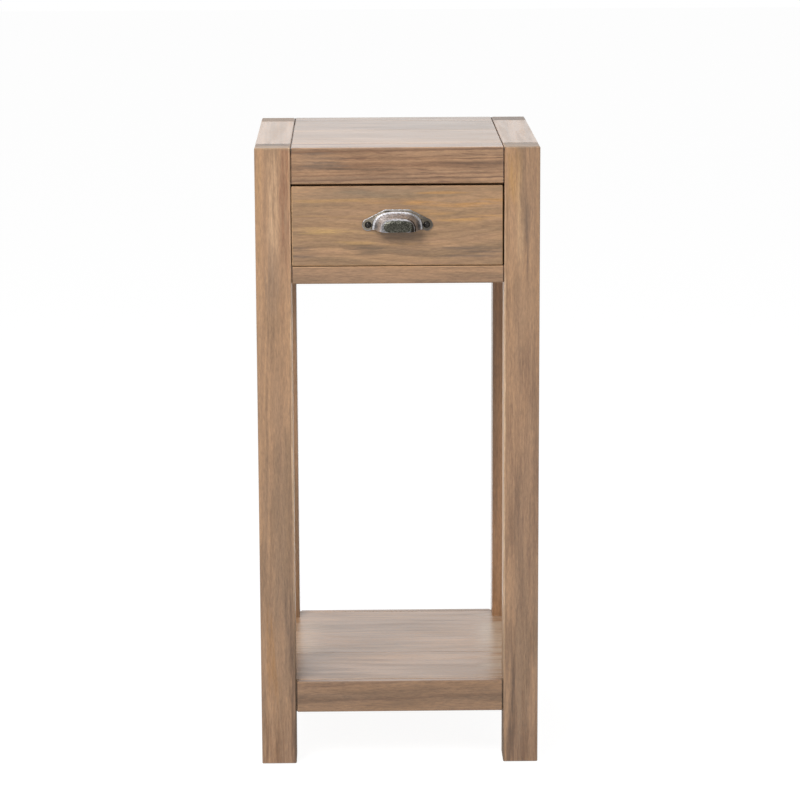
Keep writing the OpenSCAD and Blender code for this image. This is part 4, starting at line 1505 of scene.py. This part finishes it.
FRAME_BOARDS = (
    Board("leg_front_left", Grain.Z, (34.0, -52.0), ring=5.2, seed=1.0, figure=0.22, marks=(
        blot(0, 285, 30, 90, "#cfa37c", 0.42),
        blot(2, 280, 6, 62, "#d8b08a", 0.85),
        blot(13, 290, 7, 95, "#8a5a3c", 0.75),
        blot(-16, 250, 5, 110, "#b48a5a", 0.4),
        blot(-1, 212, 9, 30, "#967a64", 0.5),
        blot(-6, -230, 9, 48, "#b07d45", 0.7),
        blot(12, -195, 7, 50, "#6b503c", 0.65),
        blot(4, -345, 30, 48, "#6c421c", 0.62),
        # Painted shade darkens the back of the leg's end by the side rail, and a painted
        # highlight lightens its front
        Mark((0.0, 10.0, 350.0), (40.0, 15.0, 5.0), "#5d4b3c", 0.85),
        Mark((0.0, -13.0, 350.0), (40.0, 12.0, 2.0), "#a88b6c", 0.8),
        Mark((18.5, -19.5, -300.0), (4.5, 6.0, 130.0), "#5e422c", 0.6),
        # Painted reflection: the inner side face is pale cream; the mark also roughens it and
        # takes the seal off
        Mark((19.5, 0.0, 54.0), (1.5, 80.0, 300.0), "#efcca8", 0.85, 0.14),
        # Painted shade: the lower part of the inner side face is darker; the mark also roughens
        # it and takes the seal off
        Mark((19.5, 0.0, -290.0), (1.4, 80.0, 131.0), "#6f5b49", 0.9, 0.28),
    )),
    Board("leg_front_right", Grain.Z, (30.0, 41.0), ring=4.6, seed=2.0, figure=0.25, marks=(
        blot(0, 0, 34, 190, "#7e5c44", 0.54),
        blot(-9, 312, 7, 42, "#c0904f", 0.6),
        blot(7, 285, 7, 52, "#6d5848", 0.6),
        blot(-4, 255, 5, 60, "#d0a880", 0.7),
        blot(-16, 235, 5, 60, "#80603f", 0.4),
        blot(5, 170, 12, 36, "#c39a74", 0.4),
        blot(11, -225, 6, 45, "#6f533b", 0.45),
        blot(-4, -335, 28, 62, "#693e18", 0.52),
        Mark((-13.0, -19.5, -218.0), (8.0, 10.0, 50.0), "#644a34", 0.5),
        Mark((-14.0, -19.5, -322.0), (10.0, 10.0, 48.0), "#5c4430", 0.55),
        # Painted shade darkens the back of the leg's end by the side rail, and a painted
        # highlight lightens its front
        Mark((0.0, 10.0, 350.0), (40.0, 15.0, 5.0), "#7c6855", 0.8),
        Mark((0.0, -13.0, 350.0), (40.0, 12.0, 2.0), "#937a60", 0.8),
        # Painted reflection: the inner side face is pale cream; the mark also roughens it and
        # takes the seal off
        Mark((-19.5, 0.0, -10.0), (1.5, 80.0, 380.0), "#efcca8", 0.85, 0.14),
        # Painted shade: the lower part of the inner side face is darker; the mark also roughens
        # it and takes the seal off
        Mark((-19.5, 0.0, -345.0), (1.4, 80.0, 130.0), "#7d6a58", 0.9, 0.28),
    )),
    Board("leg_back_left", Grain.Z, (-40.0, 30.0), ring=4.8, seed=3.0, tone=-0.08),
    Board("leg_back_right", Grain.Z, (-28.0, -44.0), ring=5.0, seed=4.0, tone=-0.04,
          warmth=0.15, marks=(
              Mark((0.0, 0.0, 0.0), (60.0, 60.0, 500.0), "#9a6640", 0.3),
              Mark((0.0, 0.0, 350.0), (40.0, 40.0, 5.0), "#4f4136", 0.7),
          )),
    Board("top_rail_front", Grain.X, (18.0, 88.0), ring=4.4, seed=5.0, wander=5.0, figure=1.0,
          streaks=0.95, tone=-0.05, warmth=0.1, marks=(
              blot(0, 0, 260, 50, "#976540", 0.24),
              blot(-92, 4, 26, 9, "#75695c", 0.45),
              blot(88, 7.9, 34, 1.3, "#573d2a", 0.75),
              blot(85, 5, 30, 1.2, "#c79c74", 0.5),
              blot(90, 2.2, 32, 1.3, "#573d2a", 0.75),
              blot(84, -8, 40, 1.2, "#5e4430", 0.7),
              blot(-30, -3.5, 60, 1.2, "#5e4430", 0.6),
          )),
    Board("top_rail_back", Grain.X, (-25.0, -70.0), ring=4.2, seed=6.0, figure=0.5,
          streaks=0.4, tone=-0.3, marks=(
              # Painted shade along the seam where the top board meets the back rail
              Mark((0.0, -9.5, 20.0), (260.0, 2.4, 10.0), "#4c3a2c", 0.9),
          )),
    Board("top_rail_left", Grain.Y, (48.0, 26.0), ring=4.3, seed=7.0, tone=0.2,
          warmth=-0.1, marks=(
              # Painted shade of the joint gap where the side rail meets the front leg
              Mark((0.0, -117.0, 20.0), (40.0, 3.0, 30.0), "#33251b", 1.0),
          )),
    Board("top_rail_right", Grain.Y, (-38.0, -34.0), ring=4.0, seed=8.0, tone=0.08,
          warmth=-0.1, marks=(
              # Painted shade of the joint gap where the side rail meets the front leg
              Mark((0.0, -117.0, 20.0), (40.0, 1.8, 30.0), "#4c3a2c", 0.9),
          )),
    Board("top_board_front", Grain.X, (12.0, -64.0), ring=5.5, seed=9.0, wander=10.0),
    Board("top_board_back", Grain.X, (-20.0, 52.0), ring=5.0, seed=10.0, wander=10.0,
          tone=-0.3, warmth=0.08),
    Board("apron_left", Grain.Y, (36.0, 14.0), ring=5.4, seed=11.0, wander=10.0),
    Board("apron_right", Grain.Y, (-52.0, -22.0), ring=5.2, seed=12.0, wander=10.0),
    Board("apron_back", Grain.X, (48.0, -18.0), ring=5.6, seed=13.0, wander=11.0),
    Board("drawer_rail_front", Grain.X, (44.0, -58.0), ring=5.1, seed=14.0, figure=0.2,
          tone=-0.1, warmth=-0.05, marks=(
              # Painted light: the top front edge is pale, which lightens the shade in the gap
              # under the drawer
              Mark((0.0, -19.5, 9.5), (200.0, 4.0, 0.7), "#f4c99c", 0.5),
          )),
    Board("drawer_rail_back", Grain.X, (-36.0, 48.0), ring=4.3, seed=15.0),
    Board("shelf_board_front", Grain.X, (-16.0, -58.0), ring=5.2, seed=16.0, wander=9.0,
          tone=0.1, warmth=-0.12, marks=(
              Mark((-92.0, -28.0, 0.0), (46.0, 22.0, 30.0), "#5d4735", 0.5),
              # Painted reflection: the shelf's right end is pale pinkish grey
              Mark((117.0, 0.0, 0.0), (18.0, 60.0, 30.0), "#cbb9a4", 0.65),
          )),
    Board("shelf_board_back", Grain.X, (22.0, 60.0), ring=5.6, seed=17.0, wander=9.0,
          tone=0.1, warmth=-0.12, marks=(
              Mark((-80.0, -40.0, 0.0), (50.0, 26.0, 30.0), "#c8986e", 0.5),
              Mark((70.0, -50.0, 0.0), (50.0, 20.0, 30.0), "#c2966e", 0.4),
              # Painted reflection: both ends of the shelf are pale pinkish grey
              Mark((-115.0, -40.0, 0.0), (26.0, 90.0, 30.0), "#dcc0a4", 0.6),
              Mark((117.0, -30.0, 0.0), (20.0, 110.0, 30.0), "#cfbda8", 0.65),
          )),
    Board("shelf_apron_front", Grain.X, (70.0, 38.0), ring=4.6, seed=18.0, figure=0.55,
          streaks=0.5, tone=-0.2, warmth=0.1, marks=(
              blot(0, 0, 260, 50, "#8a6342", 0.25),
          )),
    Board("shelf_apron_back", Grain.X, (-60.0, -30.0), ring=4.1, seed=19.0),
    Board("shelf_apron_left", Grain.Y, (58.0, 30.0), ring=4.3, seed=20.0),
    Board("shelf_apron_right", Grain.Y, (-62.0, 26.0), ring=4.0, seed=21.0),
    Board("drawer_front", Grain.X, (26.0, 30.0), ring=5.4, seed=22.0, wander=12.0,
          bow=(7.0, 260.0, 40.0), figure=0.5, marks=(
              blot(0, 0, 300, 110, "#9c8052", 0.22),
              blot(-34, -24, 20, 3, "#5e4a36", 0.8),
              blot(-30, -30, 22, 2.4, "#6a543e", 0.7),
              blot(-108, -25, 20, 3, "#67513f", 0.7),
              blot(-104, -33, 24, 2.4, "#6b5546", 0.7),
              blot(72, -25, 40, 2, "#6e5949", 0.7),
              blot(98, -29, 34, 1.8, "#6a5548", 0.7),
              blot(90, -34, 40, 1.6, "#755f50", 0.6),
              blot(-70, 34, 60, 9, "#90785f", 0.5),
              blot(10, 39, 70, 6, "#8b775e", 0.5),
              blot(60, 24, 70, 5, "#94795d", 0.5),
              blot(-94, -4, 40, 2.1, "#c9a067", 0.6),
              blot(-62, -6.6, 40, 2, "#cba266", 0.7),
              blot(-46, -18, 24, 1.7, "#c79c62", 0.55),
              blot(-64, 28, 62, 2, "#c0935a", 0.6),
              blot(-58, 11, 60, 1.8, "#bf9460", 0.5),
              blot(47, 36.5, 24, 1.4, "#c8914e", 0.6),
              blot(18, 26, 26, 1.9, "#c8914e", 0.6),
              blot(42, 23.6, 28, 2, "#c8914e", 0.65),
              blot(68, 22, 28, 2, "#c8914e", 0.65),
              blot(92, 24, 26, 2, "#c8914e", 0.65),
              blot(110, 27.4, 22, 2, "#c8914e", 0.6),
              blot(24, 17, 14, 1.7, "#c3935a", 0.5),
              blot(42, 13.6, 14, 1.7, "#c3935a", 0.5),
              blot(56, 5.6, 28, 1.9, "#c8975a", 0.65),
              blot(83, 7.2, 28, 1.9, "#c8975a", 0.65),
              blot(107, 10.4, 24, 1.9, "#c3935a", 0.6),
              blot(-22, 26, 24, 1.8, "#c08f58", 0.5),
              blot(15, -20, 34, 1.8, "#c29560", 0.55),
              # Painted shadow: a dark patch just below the pull, a little to its right
              blot(10, -12, 26, 5.5, "#6b5136", 0.55),
              # Painted light: the bottom and left edges are pale, which lightens the shade in
              # the gaps round the drawer
              Mark((0.0, -9.5, -43.9), (200.0, 4.0, 0.7), "#f4c99c", 0.5),
              Mark((-115.6, -9.5, 0.0), (0.7, 4.0, 100.0), "#f4c99c", 0.5),
          )),
)

INNER_BOARDS = (
    Board("top_cleat_front", Grain.X, (30.0, 20.0), seed=30.0),
    Board("top_cleat_back", Grain.X, (-30.0, 24.0), seed=31.0),
    Board("drawer_runner_left", Grain.Y, (40.0, 30.0), seed=32.0),
    Board("drawer_runner_right", Grain.Y, (-44.0, 30.0), seed=33.0),
    Board("drawer_guide_left", Grain.Y, (40.0, -20.0), seed=34.0),
    Board("drawer_guide_right", Grain.Y, (-34.0, 24.0), seed=35.0),
    Board("drawer_kicker_left", Grain.Y, (36.0, 18.0), seed=36.0),
    Board("drawer_kicker_right", Grain.Y, (-32.0, -24.0), seed=37.0),
    Board("drawer_stops", Grain.Y, (10.0, 30.0), seed=38.0),
    Board("shelf_cleat_front", Grain.X, (34.0, 22.0), seed=39.0),
    Board("shelf_cleat_back", Grain.X, (-34.0, 26.0), seed=40.0),
    Board("shelf_cleat_left", Grain.Y, (30.0, 28.0), seed=41.0),
    Board("shelf_cleat_right", Grain.Y, (-30.0, 24.0), seed=42.0),
    Board("drawer_side_left", Grain.Y, (46.0, 12.0), seed=43.0, wander=9.0),
    Board("drawer_side_right", Grain.Y, (-50.0, 8.0), seed=44.0, wander=9.0),
    Board("drawer_back", Grain.X, (-44.0, 16.0), seed=45.0, wander=9.0),
    Board("drawer_bottom", Grain.X, (8.0, -48.0), seed=46.0, wander=12.0),
    Board("turn_button", Grain.Z, (22.0, 14.0), ring=2.6, seed=47.0),
)


def main() -> None:
    """Builds and dresses the table, and reports each piece."""
    logging.basicConfig(level=logging.INFO, format="%(name)s: %(message)s")
    softwood = Softwood()
    Woodwork("table", WASHED_PINE, FRAME_BOARDS).build(softwood)
    Woodwork("inner frame", RAW_PINE, INNER_BOARDS, rounding=0.25).build(softwood)
    TurnedBeech().dress(("dowels_top", "dowels_bay", "dowels_shelf"))
    BLACK_STEEL.dress(("pull_screws",))
    ZINC_STEEL.dress(("top_screws", "runner_screws", "shelf_screws", "bottom_nails",
                      "button_screw"))
    CupPull(pull_origin()).build()
    GrooveShadeWax().build()
    Studio().build()


if __name__ == "__main__":
    main()
